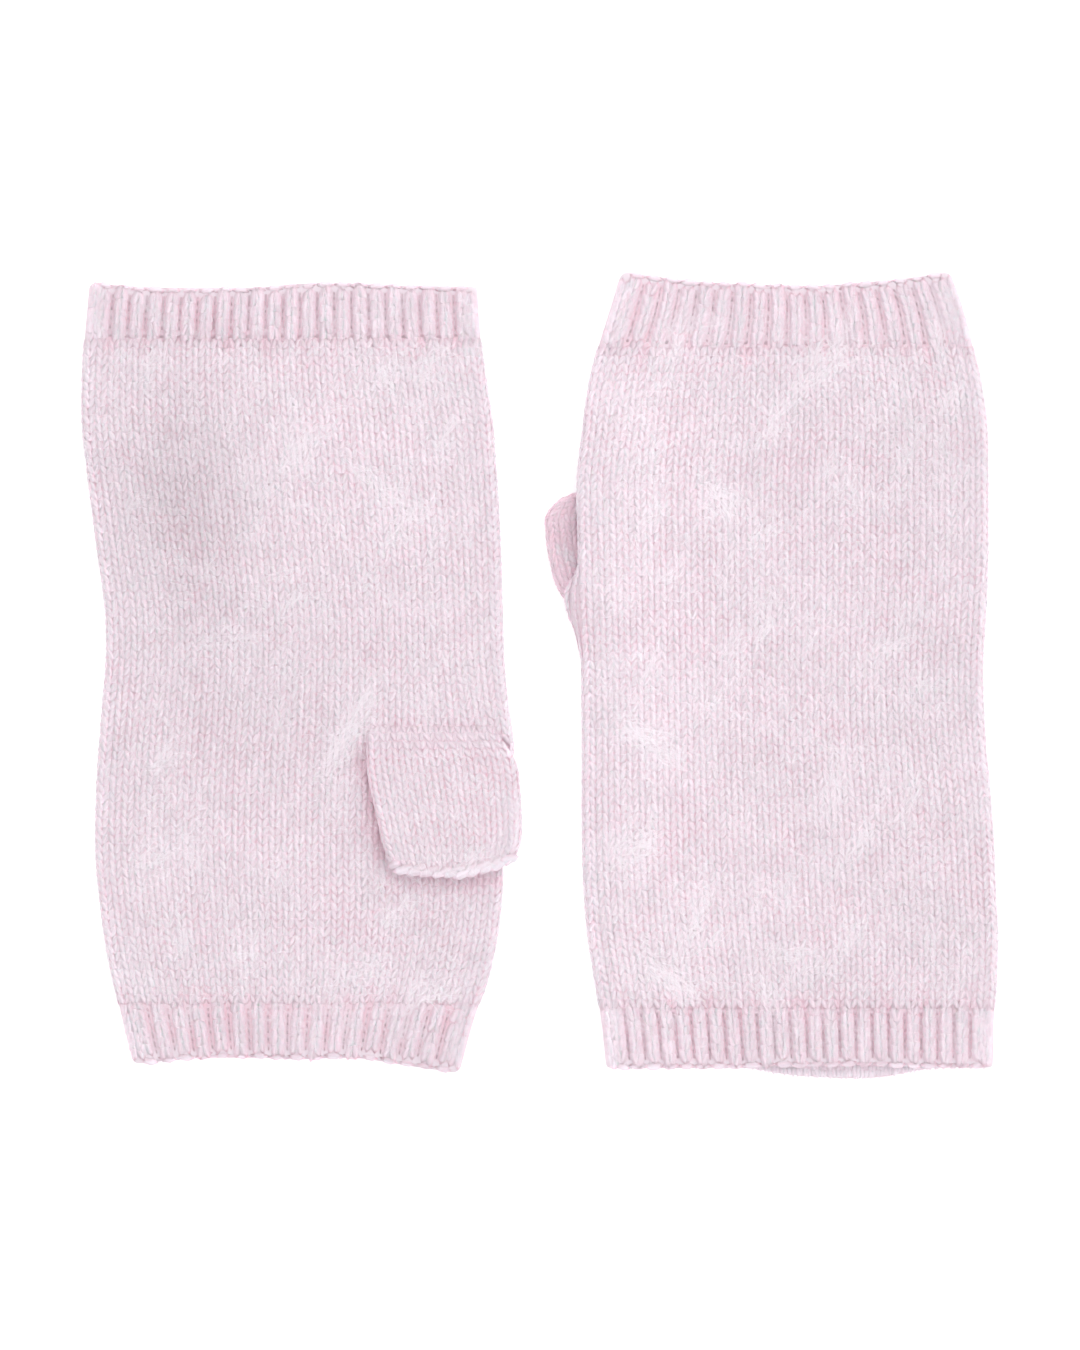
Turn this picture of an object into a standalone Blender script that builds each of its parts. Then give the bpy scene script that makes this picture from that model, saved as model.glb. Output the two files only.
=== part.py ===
"""A pair of knitted fingerless gloves, laid flat head to tail.

The left glove lies palm up with its fingers' end towards -Y, and its thumb is folded over the palm.
The right glove lies back up with its fingers' end towards +Y, and its thumb is tucked beneath it.
Each glove is a knitted tube with a slit for the thumb, a ribbed wrist, a ribbed finger end and a
thumb tube knitted out of the slit. Metres, +Z up, origin on the surface under the pair's middle.

Every piece is worked out in its glove's own millimetres:
    across  from the glove's centre line, positive towards the thumb
    along   from the wrist hem towards the fingers
    height  above the surface that the gloves lie on
"""

import bmesh
import bpy
import numpy as np

MM = 0.001

# The cloth, in millimetres
WALL = 1.7
THUMB_WALL = 1.6
LAYER_GAP = 0.8
THUMB_GAP = 0.45
SEAM = 0.3
FLAT_THICKNESS = 2 * WALL + LAYER_GAP
THUMB_THICKNESS = 2 * THUMB_WALL + THUMB_GAP
THUMB_STACK = SEAM + THUMB_THICKNESS

# The ribs: each is a flat crest beside a narrow valley
RIB_VALLEY_WALL = 1.4
RIB_RELIEF = 0.9
RIB_CREST_FROM = 0.2
RIB_CREST_TO = 0.8
HEM_CHAMFER = 0.8
HEM_TUCK = 0.5

# The thumb slit runs along one course of the palm
SLIT_FROM = 112.0
SLIT_TO = 121.5
SLIT_INNER_SHARE = 0.66
SLIT_OUTER_SHARE = 0.98
THUMB_RISE = 9.0
# How softly each layer of a glove comes down from the thumb beneath it: the upper one bridges more
DRAPE_BEFORE_SLIT = (0.0, 20.0)
DRAPE_BEYOND_TIP = (18.0, 26.0)
DRAPE_BEYOND_SIDE = (22.0, 30.0)

# Points round a section, and rows along a tube
BODY_SPANS_BESIDE_SLIT = 8
BODY_SPANS_OVER_SLIT = 4
BODY_ROW_STEP = 9.0
THUMB_RUN_POINTS = 10
RIB_PLAIN_POINTS = 9
ARC_ANGLES = (45.0, 0.0, -45.0)

LEFT = {
    "name": "left",
    "centre_x": -60.5,
    "wrist_y": 99.2,
    "across_sign": 1.0,
    "along_sign": -1.0,
    "palm_up": True,
    "wrist_rib_end": 14.3,
    "finger_rib_start": 182.1,
    "finger_hem": 197.4,
    "wrist_ribs": 22,
    "finger_ribs": 17,
    # along, outer edge, thumb edge
    "outline": [
        (0.0, 54.6, 44.6),
        (14.3, 55.9, 45.6),
        (24.5, 56.4, 46.9),
        (34.7, 56.4, 48.4),
        (44.9, 55.4, 49.2),
        (65.3, 52.8, 50.4),
        (85.7, 50.3, 51.0),
        (95.9, 50.3, 51.3),
        (106.1, 51.1, 51.7),
        (126.5, 52.6, 51.5),
        (146.9, 52.8, 51.1),
        (157.1, 51.8, 50.7),
        (167.3, 50.5, 49.4),
        (177.5, 48.5, 47.1),
        (187.7, 46.0, 43.3),
        (197.9, 43.4, 40.0),
    ],
    # along, how far the palm layer bulges past the thumb edge
    "bulge": [
        (95.0, 0.0),
        (106.0, 1.0),
        (111.0, 1.9),
        (118.0, 2.9),
        (124.0, 2.0),
        (131.0, 0.0),
    ],
    # along, inner edge, outer edge
    "thumb": [
        (118.8, 16.4, 54.0),
        (122.1, 16.5, 54.8),
        (128.5, 17.5, 55.4),
        (136.2, 19.1, 55.8),
        (142.5, 20.9, 55.3),
        (145.9, 22.3, 53.8),
        (148.4, 24.4, 51.4),
    ],
    "thumb_tip_bow": 3.0,
    # share across from the outer edge, reach of the upper layer, reach of the under layer
    "wrist_hem_line": [
        (0.0, 0.8, 0.4),
        (0.10, -0.2, 0.0),
        (0.40, -0.5, -0.3),
        (0.62, 0.9, 0.3),
        (0.78, 0.3, 0.3),
        (1.0, -0.3, 0.0),
    ],
    "finger_hem_line": [
        (0.0, 0.9, 0.5),
        (0.25, -0.8, -0.4),
        (0.52, -0.2, -0.2),
        (0.70, -0.4, -0.2),
        (0.85, 1.4, 1.0),
        (1.0, 3.2, 2.6),
    ],
    # from across and along, to across and along, height, half width
    "folds": [
        (15.0, 40.0, 33.0, 51.0, 0.7, 7.0),
        (-30.0, 62.0, -8.0, 38.0, -0.45, 11.0),
        (-47.0, 88.0, -36.0, 112.0, 0.5, 9.0),
        (-20.0, 150.0, -2.0, 168.0, 0.5, 9.0),
    ],
}

RIGHT = {
    "name": "right",
    "centre_x": 63.0,
    "wrist_y": -100.0,
    "across_sign": -1.0,
    "along_sign": 1.0,
    "palm_up": False,
    "wrist_rib_end": 15.8,
    "finger_rib_start": 182.8,
    "finger_hem": 199.7,
    "wrist_ribs": 23,
    "finger_ribs": 18,
    "outline": [
        (0.0, 52.8, 46.2),
        (14.0, 53.1, 47.8),
        (24.2, 53.7, 49.4),
        (34.4, 53.9, 50.9),
        (44.6, 53.4, 51.7),
        (65.0, 52.4, 52.2),
        (85.4, 50.6, 52.2),
        (100.7, 50.1, 52.4),
        (121.1, 51.1, 53.1),
        (131.3, 51.4, 53.3),
        (151.7, 51.4, 53.4),
        (161.9, 51.3, 52.2),
        (172.1, 50.1, 50.9),
        (182.3, 48.0, 48.6),
        (192.5, 45.0, 45.0),
        (202.7, 40.6, 41.5),
    ],
    "bulge": [
        (103.0, 0.0),
        (111.0, 2.2),
        (116.0, 4.0),
        (121.0, 4.6),
        (128.0, 0.0),
    ],
    "thumb": [
        (118.8, 18.5, 57.6),
        (122.1, 19.5, 58.9),
        (128.5, 21.5, 60.4),
        (136.2, 23.5, 61.4),
        (141.0, 25.0, 61.3),
        (144.5, 27.0, 58.3),
        (147.5, 29.5, 53.5),
    ],
    "thumb_tip_bow": 3.0,
    "wrist_hem_line": [
        (0.0, 0.2, 0.2),
        (0.15, 0.0, 0.5),
        (0.28, -0.3, 2.7),
        (0.42, -0.3, 2.8),
        (0.55, -0.2, 1.8),
        (0.64, 0.1, 0.3),
        (1.0, 0.3, 0.3),
    ],
    "finger_hem_line": [
        (0.0, 3.0, 2.4),
        (0.10, 1.7, 1.2),
        (0.25, 0.5, 0.2),
        (0.42, -0.4, -0.4),
        (0.60, 0.0, -0.2),
        (0.80, 0.9, 0.5),
        (1.0, 3.0, 2.4),
    ],
    "folds": [
        (-14.0, 25.0, 0.0, 33.0, 0.7, 6.0),
        (14.0, 82.0, 36.0, 96.0, 0.5, 9.0),
        (-30.0, 130.0, -12.0, 152.0, 0.5, 9.0),
    ],
}

FABRIC_COLOURS = {
    "body": (0.84, 0.72, 0.78, 1.0),
    "wrist_rib": (0.81, 0.68, 0.75, 1.0),
    "finger_rib": (0.81, 0.68, 0.75, 1.0),
    "thumb": (0.83, 0.71, 0.77, 1.0),
}
FABRIC_ROUGHNESS = 0.95


def smoothstep(value, start, end):
    """0 before start and 1 after end, with a soft turn at both."""
    share = np.clip((value - start) / (end - start), 0.0, 1.0)
    return share * share * (3.0 - 2.0 * share)


def read_table(rows, column, at):
    """A smooth curve through one column of a table, held level past its ends."""
    places = np.array([row[0] for row in rows])
    values = np.array([row[column] for row in rows])
    slopes = np.gradient(values, places)
    at = np.clip(at, places[0], places[-1])
    index = np.clip(np.searchsorted(places, at) - 1, 0, len(places) - 2)
    span = places[index + 1] - places[index]
    share = (at - places[index]) / span
    near = (1.0 + 2.0 * share) * (1.0 - share) ** 2 * values[index]
    far = share**2 * (3.0 - 2.0 * share) * values[index + 1]
    lean = share * (1.0 - share) ** 2 * slopes[index] - share**2 * (1.0 - share) * slopes[index + 1]
    return near + far + lean * span


def thumb_rise(along, before=0.0):
    """How high the thumb's far layer stands over the palm that it is folded along."""
    return THUMB_STACK * smoothstep(along, SLIT_FROM - before, SLIT_FROM + THUMB_RISE)


def fold_height(glove, across, along):
    """The soft ridges and hollows of the upper layer, each along its own line."""
    height = 0.0 * across
    for start_across, start_along, end_across, end_along, peak, half_width in glove["folds"]:
        run = np.array([end_across - start_across, end_along - start_along])
        share = (across - start_across) * run[0] + (along - start_along) * run[1]
        share = np.clip(share / (run @ run), 0.0, 1.0)
        off_across = across - start_across - share * run[0]
        off_along = along - start_along - share * run[1]
        height = height + peak * np.exp(-(off_across**2 + off_along**2) / half_width**2)
    return height


def lift(glove, across, along, layer=0):
    """How far the under layer, 0, or the upper layer, 1, is raised where it lies over a thumb."""
    if glove["palm_up"]:
        return 0.0 * across
    inner_edge = read_table(glove["thumb"], 1, along) - 1.5
    tip = glove["thumb"][-1][0] + glove["thumb_tip_bow"] + 1.5
    beside = smoothstep(across, inner_edge - DRAPE_BEYOND_SIDE[layer], inner_edge)
    beyond = 1.0 - smoothstep(along, tip, tip + DRAPE_BEYOND_TIP[layer])
    return thumb_rise(along, DRAPE_BEFORE_SLIT[layer]) * beside * beyond


def palm_face(glove, across, along):
    """The height of the palm's outer face, which the thumb lies on or beneath."""
    if not glove["palm_up"]:
        return lift(glove, across, along)
    return FLAT_THICKNESS + edge_fade(glove, across, along) * fold_height(glove, across, along)


def edge_fade(glove, across, along):
    """1 over the middle of a glove and 0 at its folded edges, so that folds die out there."""
    outer = -read_table(glove["outline"], 1, along)
    thumb = read_table(glove["outline"], 2, along)
    return smoothstep(across, outer, outer + 12.0) * (1.0 - smoothstep(across, thumb - 12.0, thumb))


def tube_loop(upper_shares, under_shares):
    """The points round a flattened tube, as share across, and direction as a cosine and a sine."""
    rows = [(share, 0.0, 1.0) for share in upper_shares]
    for angle in np.radians(ARC_ANGLES):
        rows.append((1.0, np.cos(angle), np.sin(angle)))
    rows += [(share, 0.0, -1.0) for share in reversed(under_shares)]
    for angle in np.radians(ARC_ANGLES[::-1]):
        rows.append((0.0, -np.cos(angle), np.sin(angle)))
    return np.array(rows).T


def body_points(glove, loop, along, inset, relief=0.0):
    """Points of the flattened hand tube, set inwards by a wall or outwards by a relief."""
    share, cosine, sine = loop
    radius = FLAT_THICKNESS / 2
    outer = -read_table(glove["outline"], 1, along) + radius
    thumb = read_table(glove["outline"], 2, along) - radius
    palm_side = (1.0 + sine) / 2 if glove["palm_up"] else (1.0 - sine) / 2
    bulge = read_table(glove["bulge"], 1, along) * palm_side * smoothstep(share, 0.7, 1.0)
    across = outer + share * (thumb - outer) + bulge
    folds = np.clip(sine, 0.0, 1.0) * edge_fade(glove, across, along) * fold_height(glove, across, along)
    under_lift = lift(glove, across, along, 0)
    upper_lift = lift(glove, across, along, 1)
    middle = radius + under_lift + (upper_lift - under_lift) * (1.0 + sine) / 2 + folds
    reach = radius - inset + relief
    return np.stack([across + cosine * reach, along + 0.0 * across, middle + sine * reach], axis=-1)


def to_world(glove, points):
    """Glove millimetres to metres where the glove lies."""
    x = glove["centre_x"] + glove["across_sign"] * points[..., 0]
    y = glove["wrist_y"] + glove["along_sign"] * points[..., 1]
    return np.stack([x, y, points[..., 2]], axis=-1) * MM


def fabric(piece):
    material = bpy.data.materials.new(f"{piece}_knit")
    material.use_nodes = True
    shader = material.node_tree.nodes["Principled BSDF"]
    shader.inputs["Base Color"].default_value = FABRIC_COLOURS[piece]
    shader.inputs["Roughness"].default_value = FABRIC_ROUGHNESS
    shader.inputs["Metallic"].default_value = 0.0
    return material


def make_tube(glove, piece, outer, inner, slit=None):
    """A closed wall lofted between rows of outer and inner points, with an optional slit through it.

    The slit is given as its first and last row, and its first and last point round the loop.
    """
    rows, count = outer.shape[:2]
    mesh = bmesh.new()
    grids = []
    for layer in (outer, inner):
        world = to_world(glove, layer)
        grids.append([[mesh.verts.new(point) for point in row] for row in world])
    outside, inside = grids

    def in_slit(row, step):
        return slit is not None and slit[0] <= row < slit[1] and slit[2] <= step < slit[3]

    def wall_between(row, step, next_row, next_step):
        ends = (outside[row][step], outside[next_row][next_step])
        mesh.faces.new((*ends, inside[next_row][next_step], inside[row][step]))

    for row in range(rows - 1):
        for step in range(count):
            after = (step + 1) % count
            if in_slit(row, step):
                continue
            for grid in grids:
                mesh.faces.new((grid[row][step], grid[row][after], grid[row + 1][after], grid[row + 1][step]))
    for step in range(count):
        wall_between(0, step, 0, (step + 1) % count)
        wall_between(rows - 1, step, rows - 1, (step + 1) % count)
    if slit is not None:
        first_row, last_row, first_step, last_step = slit
        for step in range(first_step, last_step):
            wall_between(first_row, step, first_row, step + 1)
            wall_between(last_row, step, last_row, step + 1)
        for row in range(first_row, last_row):
            wall_between(row, first_step, row + 1, first_step)
            wall_between(row, last_step, row + 1, last_step)
    bmesh.ops.recalc_face_normals(mesh, faces=mesh.faces[:])
    name = f"{glove['name']}_{piece}"
    data = bpy.data.meshes.new(name)
    mesh.to_mesh(data)
    mesh.free()
    data.shade_smooth()
    data.set_sharp_from_angle(angle=np.radians(50.0))
    data.materials.append(fabric(piece))
    tube = bpy.data.objects.new(name, data)
    pair.objects.link(tube)
    return tube


def make_body(glove):
    """The stockinette tube of the hand, with the thumb's slit through its palm."""
    beside = np.linspace(0.0, SLIT_INNER_SHARE, BODY_SPANS_BESIDE_SLIT + 1)
    over = np.linspace(SLIT_INNER_SHARE, SLIT_OUTER_SHARE, BODY_SPANS_OVER_SLIT + 1)
    shares = [*beside, *over[1:], 1.0]
    loop = tube_loop(shares, shares)
    start = glove["wrist_rib_end"] + SEAM / 2
    end = glove["finger_rib_start"] - SEAM / 2
    to_slit = np.linspace(start, SLIT_FROM, round((SLIT_FROM - start) / BODY_ROW_STEP) + 1)
    past_slit = np.linspace(SLIT_TO, end, round((end - SLIT_TO) / BODY_ROW_STEP) + 1)
    places = [*to_slit, (SLIT_FROM + SLIT_TO) / 2, *past_slit]
    outer = np.array([body_points(glove, loop, place, 0.0) for place in places])
    inner = np.array([body_points(glove, loop, place, WALL) for place in places])
    first_row = len(to_slit) - 1
    if glove["palm_up"]:
        first_step = BODY_SPANS_BESIDE_SLIT
    else:
        first_step = len(shares) + len(ARC_ANGLES) + 1
    slit = (first_row, first_row + 2, first_step, first_step + BODY_SPANS_OVER_SLIT)
    return make_tube(glove, "body", outer, inner, slit)


def rib_loop(ribs):
    """A loop whose upper run has a valley, a crest's start and its end for each rib."""
    shares, crests = [], []
    for rib in range(ribs):
        shares += [rib / ribs, (rib + RIB_CREST_FROM) / ribs, (rib + RIB_CREST_TO) / ribs]
        crests += [0.0, 1.0, 1.0]
    shares.append(1.0)
    crests.append(0.0)
    under = list(np.linspace(0.0, 1.0, RIB_PLAIN_POINTS))
    arc_crests = [1.0, 0.6, 0.0]
    crests += arc_crests + [0.0] * len(under) + arc_crests[::-1]
    return tube_loop(shares, under), np.array(crests)


def make_rib_band(glove, piece, hem, seam, ribs, hem_line):
    """A ribbed band from its free hem to its seam with the body."""
    loop, crests = rib_loop(ribs)
    share, _, sine = loop
    towards_seam = np.sign(seam - hem)
    upper_reach = read_table(hem_line, 1, share)
    under_reach = read_table(hem_line, 2, share)
    reach = under_reach + (upper_reach - under_reach) * (1.0 + sine) / 2
    # distance from the hem, relief as a share, wall taken off both sides
    rows = [
        (0.0, 0.45, HEM_TUCK),
        (HEM_CHAMFER, 1.0, 0.0),
        (abs(seam - hem) / 2, 1.0, 0.0),
        (abs(seam - hem) - SEAM / 2, 0.85, 0.0),
    ]
    length = abs(seam - hem)
    plain_wall = WALL + (RIB_VALLEY_WALL - WALL) * np.clip(sine, 0.0, 1.0)
    outer, inner = [], []
    for distance, relief_share, tuck in rows:
        along = hem + towards_seam * distance
        shift = -towards_seam * reach * (1.0 - distance / length)
        thinner = WALL - plain_wall
        on_floor = np.clip(-sine, 0.0, 1.0)
        relief = RIB_RELIEF * relief_share * crests - thinner - tuck * (1.0 - on_floor)
        outside = body_points(glove, loop, along, 0.0, relief)
        inside = body_points(glove, loop, along, WALL)
        outside[:, 1] += shift
        inside[:, 1] += shift
        outer.append(outside)
        inner.append(inside)
    return make_tube(glove, piece, np.array(outer), np.array(inner))


def make_thumb(glove):
    """The thumb tube: knitted out of the slit, then folded along the palm."""
    shares = np.linspace(0.0, 1.0, THUMB_RUN_POINTS)
    share, cosine, sine = tube_loop(list(shares), list(shares))
    slit_step = (SLIT_INNER_SHARE, SLIT_OUTER_SHARE)
    edge_loop = np.array([slit_step, (0.0, 0.0), (1.0, 1.0) if glove["palm_up"] else (-1.0, -1.0)])
    near = SLIT_TO - SEAM
    # along and height of the far layer, along and height of the near layer, whether in the slit
    rows = [
        (SLIT_FROM + SEAM, -0.02, near, -1.4, True),
        (114.6, None, near, -0.2, True),
        (116.9, None, near + 0.1, SEAM + 0.05, True),
        (119.2, None, 122.4, SEAM, False),
        (121.8, None, 124.0, SEAM, False),
        (125.6, None, 126.6, SEAM, False),
        (130.5, None, 130.5, SEAM, False),
        (136.2, None, 136.2, SEAM, False),
        (141.4, None, 141.4, SEAM, False),
        (144.4, None, 144.4, SEAM, False),
    ]
    last = glove["thumb"][-1][0]
    rows.append((last - 0.8, None, last - 0.8, SEAM, False))
    rows.append((last, None, last, SEAM, False))
    outer = []
    for far_along, far_height, near_along, near_height, inside_slit in rows:
        if far_height is None:
            far_height = thumb_rise(far_along)
        along = near_along + (far_along - near_along) * (1.0 + sine) / 2
        height = near_height + (far_height - near_height) * (1.0 + sine) / 2
        radius = THUMB_THICKNESS / 2
        if inside_slit:
            edges = body_points(glove, edge_loop, (SLIT_FROM + near) / 2, 0.0)[:, 0]
            edges = edges + np.array([SEAM, -SEAM]) * 1.3
        else:
            edges = np.array([read_table(glove["thumb"], side, far_along) for side in (1, 2)])
        start, end = edges[0] + radius, edges[1] - radius
        across = start + share * (end - start) + cosine * radius
        bow = glove["thumb_tip_bow"] * (1.0 - ((share - 0.4) / 0.6) ** 2)
        along = along + bow * smoothstep(far_along, 130.0, last) ** 2
        face = palm_face(glove, across, along)
        outer.append(np.stack([across, along, face + (height if glove["palm_up"] else -height)], axis=-1))
    outer = np.array(outer)
    inner = outer - THUMB_WALL * outward(outer, glove["palm_up"])
    return make_tube(glove, "thumb", outer, inner)


def outward(rows, palm_up):
    """Unit directions out of a tube given as rows of loop points."""
    round_loop = np.roll(rows, -1, axis=1) - np.roll(rows, 1, axis=1)
    along_tube = np.gradient(rows, axis=0)
    direction = np.cross(round_loop, along_tube)
    direction /= np.linalg.norm(direction, axis=2, keepdims=True)
    return direction if palm_up else -direction


def make_glove(glove):
    make_body(glove)
    make_rib_band(
        glove, "wrist_rib", 0.0, glove["wrist_rib_end"], glove["wrist_ribs"], glove["wrist_hem_line"]
    )
    make_rib_band(
        glove,
        "finger_rib",
        glove["finger_hem"],
        glove["finger_rib_start"],
        glove["finger_ribs"],
        glove["finger_hem_line"],
    )
    make_thumb(glove)


for leftover in list(bpy.data.objects):
    bpy.data.objects.remove(leftover, do_unlink=True)
pair = bpy.data.collections.new("fingerless_gloves")
bpy.context.scene.collection.children.link(pair)
make_glove(LEFT)
make_glove(RIGHT)
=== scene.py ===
# %% [markdown]
# # A pair of brushed, knitted fingerless gloves
#
# The gloves lie flat, head to tail: the left one palm up with its thumb folded over the palm, the
# right one back up with its thumb tucked beneath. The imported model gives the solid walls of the
# cloth. This script dresses them as knitting: a fine cloth wall for each piece, one yarn leg for
# each half of a stitch, purl bumps and cast-off loops at the ribs, and the brushed fibres on top.

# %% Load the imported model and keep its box
from functools import partial

import bmesh
import bpy
import numpy as np
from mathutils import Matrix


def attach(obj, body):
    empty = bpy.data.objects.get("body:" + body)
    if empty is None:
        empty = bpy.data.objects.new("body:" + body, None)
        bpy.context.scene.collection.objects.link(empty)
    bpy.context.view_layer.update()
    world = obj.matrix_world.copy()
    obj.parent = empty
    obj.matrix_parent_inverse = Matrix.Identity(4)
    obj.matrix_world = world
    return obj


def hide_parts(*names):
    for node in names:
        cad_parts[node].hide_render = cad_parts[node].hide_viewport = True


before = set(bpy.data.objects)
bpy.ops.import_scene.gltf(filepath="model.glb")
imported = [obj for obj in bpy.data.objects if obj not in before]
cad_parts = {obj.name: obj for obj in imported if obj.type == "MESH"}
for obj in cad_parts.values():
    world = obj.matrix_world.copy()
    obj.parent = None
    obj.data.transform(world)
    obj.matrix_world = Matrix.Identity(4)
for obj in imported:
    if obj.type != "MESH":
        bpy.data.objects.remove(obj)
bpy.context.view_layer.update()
print("packed nodes:", sorted(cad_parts))

# %% [markdown]
# ## The camera first
#
# The photograph looks straight down at a flat lay. A long lens from well above keeps the two gloves
# free of perspective, so that their outlines can be set against the photograph's.

# %% Camera
MM = 0.001
PHOTO_HEIGHT = 1350
MM_PER_PIXEL = 0.255
CAMERA_HEIGHT = 1.6
CLOTH_HEIGHT = 0.004
SENSOR = 24.0


def placed(name, data):
    """A new object in the scene, at the origin."""
    piece = bpy.data.objects.new(name, data)
    bpy.context.scene.collection.objects.link(piece)
    return piece


view = bpy.data.cameras.new("straight_down")
view.sensor_fit = "VERTICAL"
view.sensor_height = SENSOR
view.lens = SENSOR * (CAMERA_HEIGHT - CLOTH_HEIGHT) / (PHOTO_HEIGHT * MM_PER_PIXEL * MM)
camera = placed("camera", view)
camera.location = (0.0, 0.0, CAMERA_HEIGHT)
bpy.context.scene.camera = camera
print("lens", round(view.lens, 1), "mm")

# %% [markdown]
# ## A pale floor and soft light
#
# A cut-out on white has almost no shadow. A white floor, a bright even sky and one large soft light
# from the upper right give the gentle shading that the knit shows: a little darker at the left of
# each raised edge. The floor glows a little, like a lit table, which washes out the shadow that the
# gloves would throw on it.

# %% Floor and light
FLOOR_SIZE = 6.0
FLOOR_LEVEL = -0.0002
FLOOR_TONE = (0.98, 0.975, 0.98, 1.0)
FLOOR_GLOW = 0.3
SKY_TONE = (1.0, 0.98, 0.982, 1.0)
SKY_STRENGTH = 0.95
KEY_POWER = 8.6
KEY_PLACE = (0.75, 0.65, 1.25)
KEY_SIZE = 1.7


def set_inputs(node, values):
    for name, value in values.items():
        node.inputs[name].default_value = value


def add_floor():
    bpy.ops.mesh.primitive_plane_add(size=FLOOR_SIZE, location=(0.0, 0.0, FLOOR_LEVEL))
    floor = bpy.context.object
    floor.name = "floor"
    finish = bpy.data.materials.new("floor_paper")
    finish.use_nodes = True
    set_inputs(finish.node_tree.nodes["Principled BSDF"], {
        "Base Color": FLOOR_TONE, "Roughness": 0.9, "Specular IOR Level": 0.1,
        "Emission Color": FLOOR_TONE, "Emission Strength": FLOOR_GLOW,
    })
    floor.data.materials.append(finish)


def add_light():
    sky = bpy.data.worlds.new("studio_sky")
    sky.use_nodes = True
    set_inputs(sky.node_tree.nodes["Background"], {"Color": SKY_TONE, "Strength": SKY_STRENGTH})
    bpy.context.scene.world = sky
    lamp = bpy.data.lights.new("softbox", "AREA")
    lamp.shape = "DISK"
    lamp.size = KEY_SIZE
    lamp.energy = KEY_POWER
    softbox = placed("softbox", lamp)
    softbox.location = KEY_PLACE
    softbox.rotation_euler = (-softbox.location).to_track_quat("-Z", "Y").to_euler()


add_floor()
add_light()
bpy.context.scene.view_settings.view_transform = "Standard"
print("floor, sky and one softbox")

# %% [markdown]
# ## The gloves' own sizes
#
# A glove is described in millimetres across from its centre line, positive towards the thumb, and
# along from its wrist hem. The outline tables are the same as the solids', so what is made here lies
# on them.

# %% Sizes of the cloth
WALL = 1.7
THUMB_WALL = 1.6
LAYER_GAP = 0.8
THUMB_GAP = 0.45
SEAM = 0.3
FLAT_THICKNESS = 2 * WALL + LAYER_GAP
THUMB_THICKNESS = 2 * THUMB_WALL + THUMB_GAP
THUMB_STACK = SEAM + THUMB_THICKNESS
SLIT_FROM, SLIT_TO = 112.0, 121.5
SLIT_INNER_SHARE, SLIT_OUTER_SHARE = 0.66, 0.98
THUMB_RISE = 9.0
THUMB_TIP_BOW = 3.0
DRAPE_BEFORE_SLIT = (0.0, 20.0)
DRAPE_BEYOND_TIP = (18.0, 26.0)
DRAPE_BEYOND_SIDE = (22.0, 30.0)
DRAPE_CLEARANCE = 1.5
EDGE_FADE = 12.0
ARC_SHARE = 0.032
THUMB_ARC_SHARE = 0.075

# Tables: outline (along, outer edge, thumb edge), bulge (along, reach past the thumb edge),
# thumb (along, inner edge, outer edge), hems (share across, upper reach, under reach),
# folds (from across, from along, to across, to along, height, half width)
LEFT = {
    "name": "left", "centre_x": -60.5, "wrist_y": 99.2, "across_sign": 1.0, "along_sign": -1.0,
    "palm_up": True, "wrist_rib_end": 14.3, "finger_rib_start": 182.1, "finger_hem": 197.4,
    "wrist_ribs": 22, "finger_ribs": 17,
    "outline": [
        (0.0, 54.6, 44.6), (14.3, 55.9, 45.6), (24.5, 56.4, 46.9), (34.7, 56.4, 48.4),
        (44.9, 55.4, 49.2), (65.3, 52.8, 50.4), (85.7, 50.3, 51.0), (95.9, 50.3, 51.3),
        (106.1, 51.1, 51.7), (126.5, 52.6, 51.5), (146.9, 52.8, 51.1), (157.1, 51.8, 50.7),
        (167.3, 50.5, 49.4), (177.5, 48.5, 47.1), (187.7, 46.0, 43.3), (197.9, 43.4, 40.0),
    ],
    "bulge": [(95.0, 0.0), (106.0, 1.0), (111.0, 1.9), (118.0, 2.9), (124.0, 2.0), (131.0, 0.0)],
    "thumb": [
        (118.8, 16.4, 54.0), (122.1, 16.5, 54.8), (128.5, 17.5, 55.4), (136.2, 19.1, 55.8),
        (142.5, 20.9, 55.3), (145.9, 22.3, 53.8), (148.4, 24.4, 51.4),
    ],
    "wrist_hem_line": [
        (0.0, 0.8, 0.4), (0.10, -0.2, 0.0), (0.40, -0.5, -0.3),
        (0.62, 0.9, 0.3), (0.78, 0.3, 0.3), (1.0, -0.3, 0.0),
    ],
    "finger_hem_line": [
        (0.0, 0.9, 0.5), (0.25, -0.8, -0.4), (0.52, -0.2, -0.2),
        (0.70, -0.4, -0.2), (0.85, 1.4, 1.0), (1.0, 3.2, 2.6),
    ],
    "folds": [
        (15.0, 40.0, 33.0, 51.0, 0.7, 7.0), (-30.0, 62.0, -8.0, 38.0, -0.45, 11.0),
        (-47.0, 88.0, -36.0, 112.0, 0.5, 9.0), (-20.0, 150.0, -2.0, 168.0, 0.5, 9.0),
    ],
}
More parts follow.
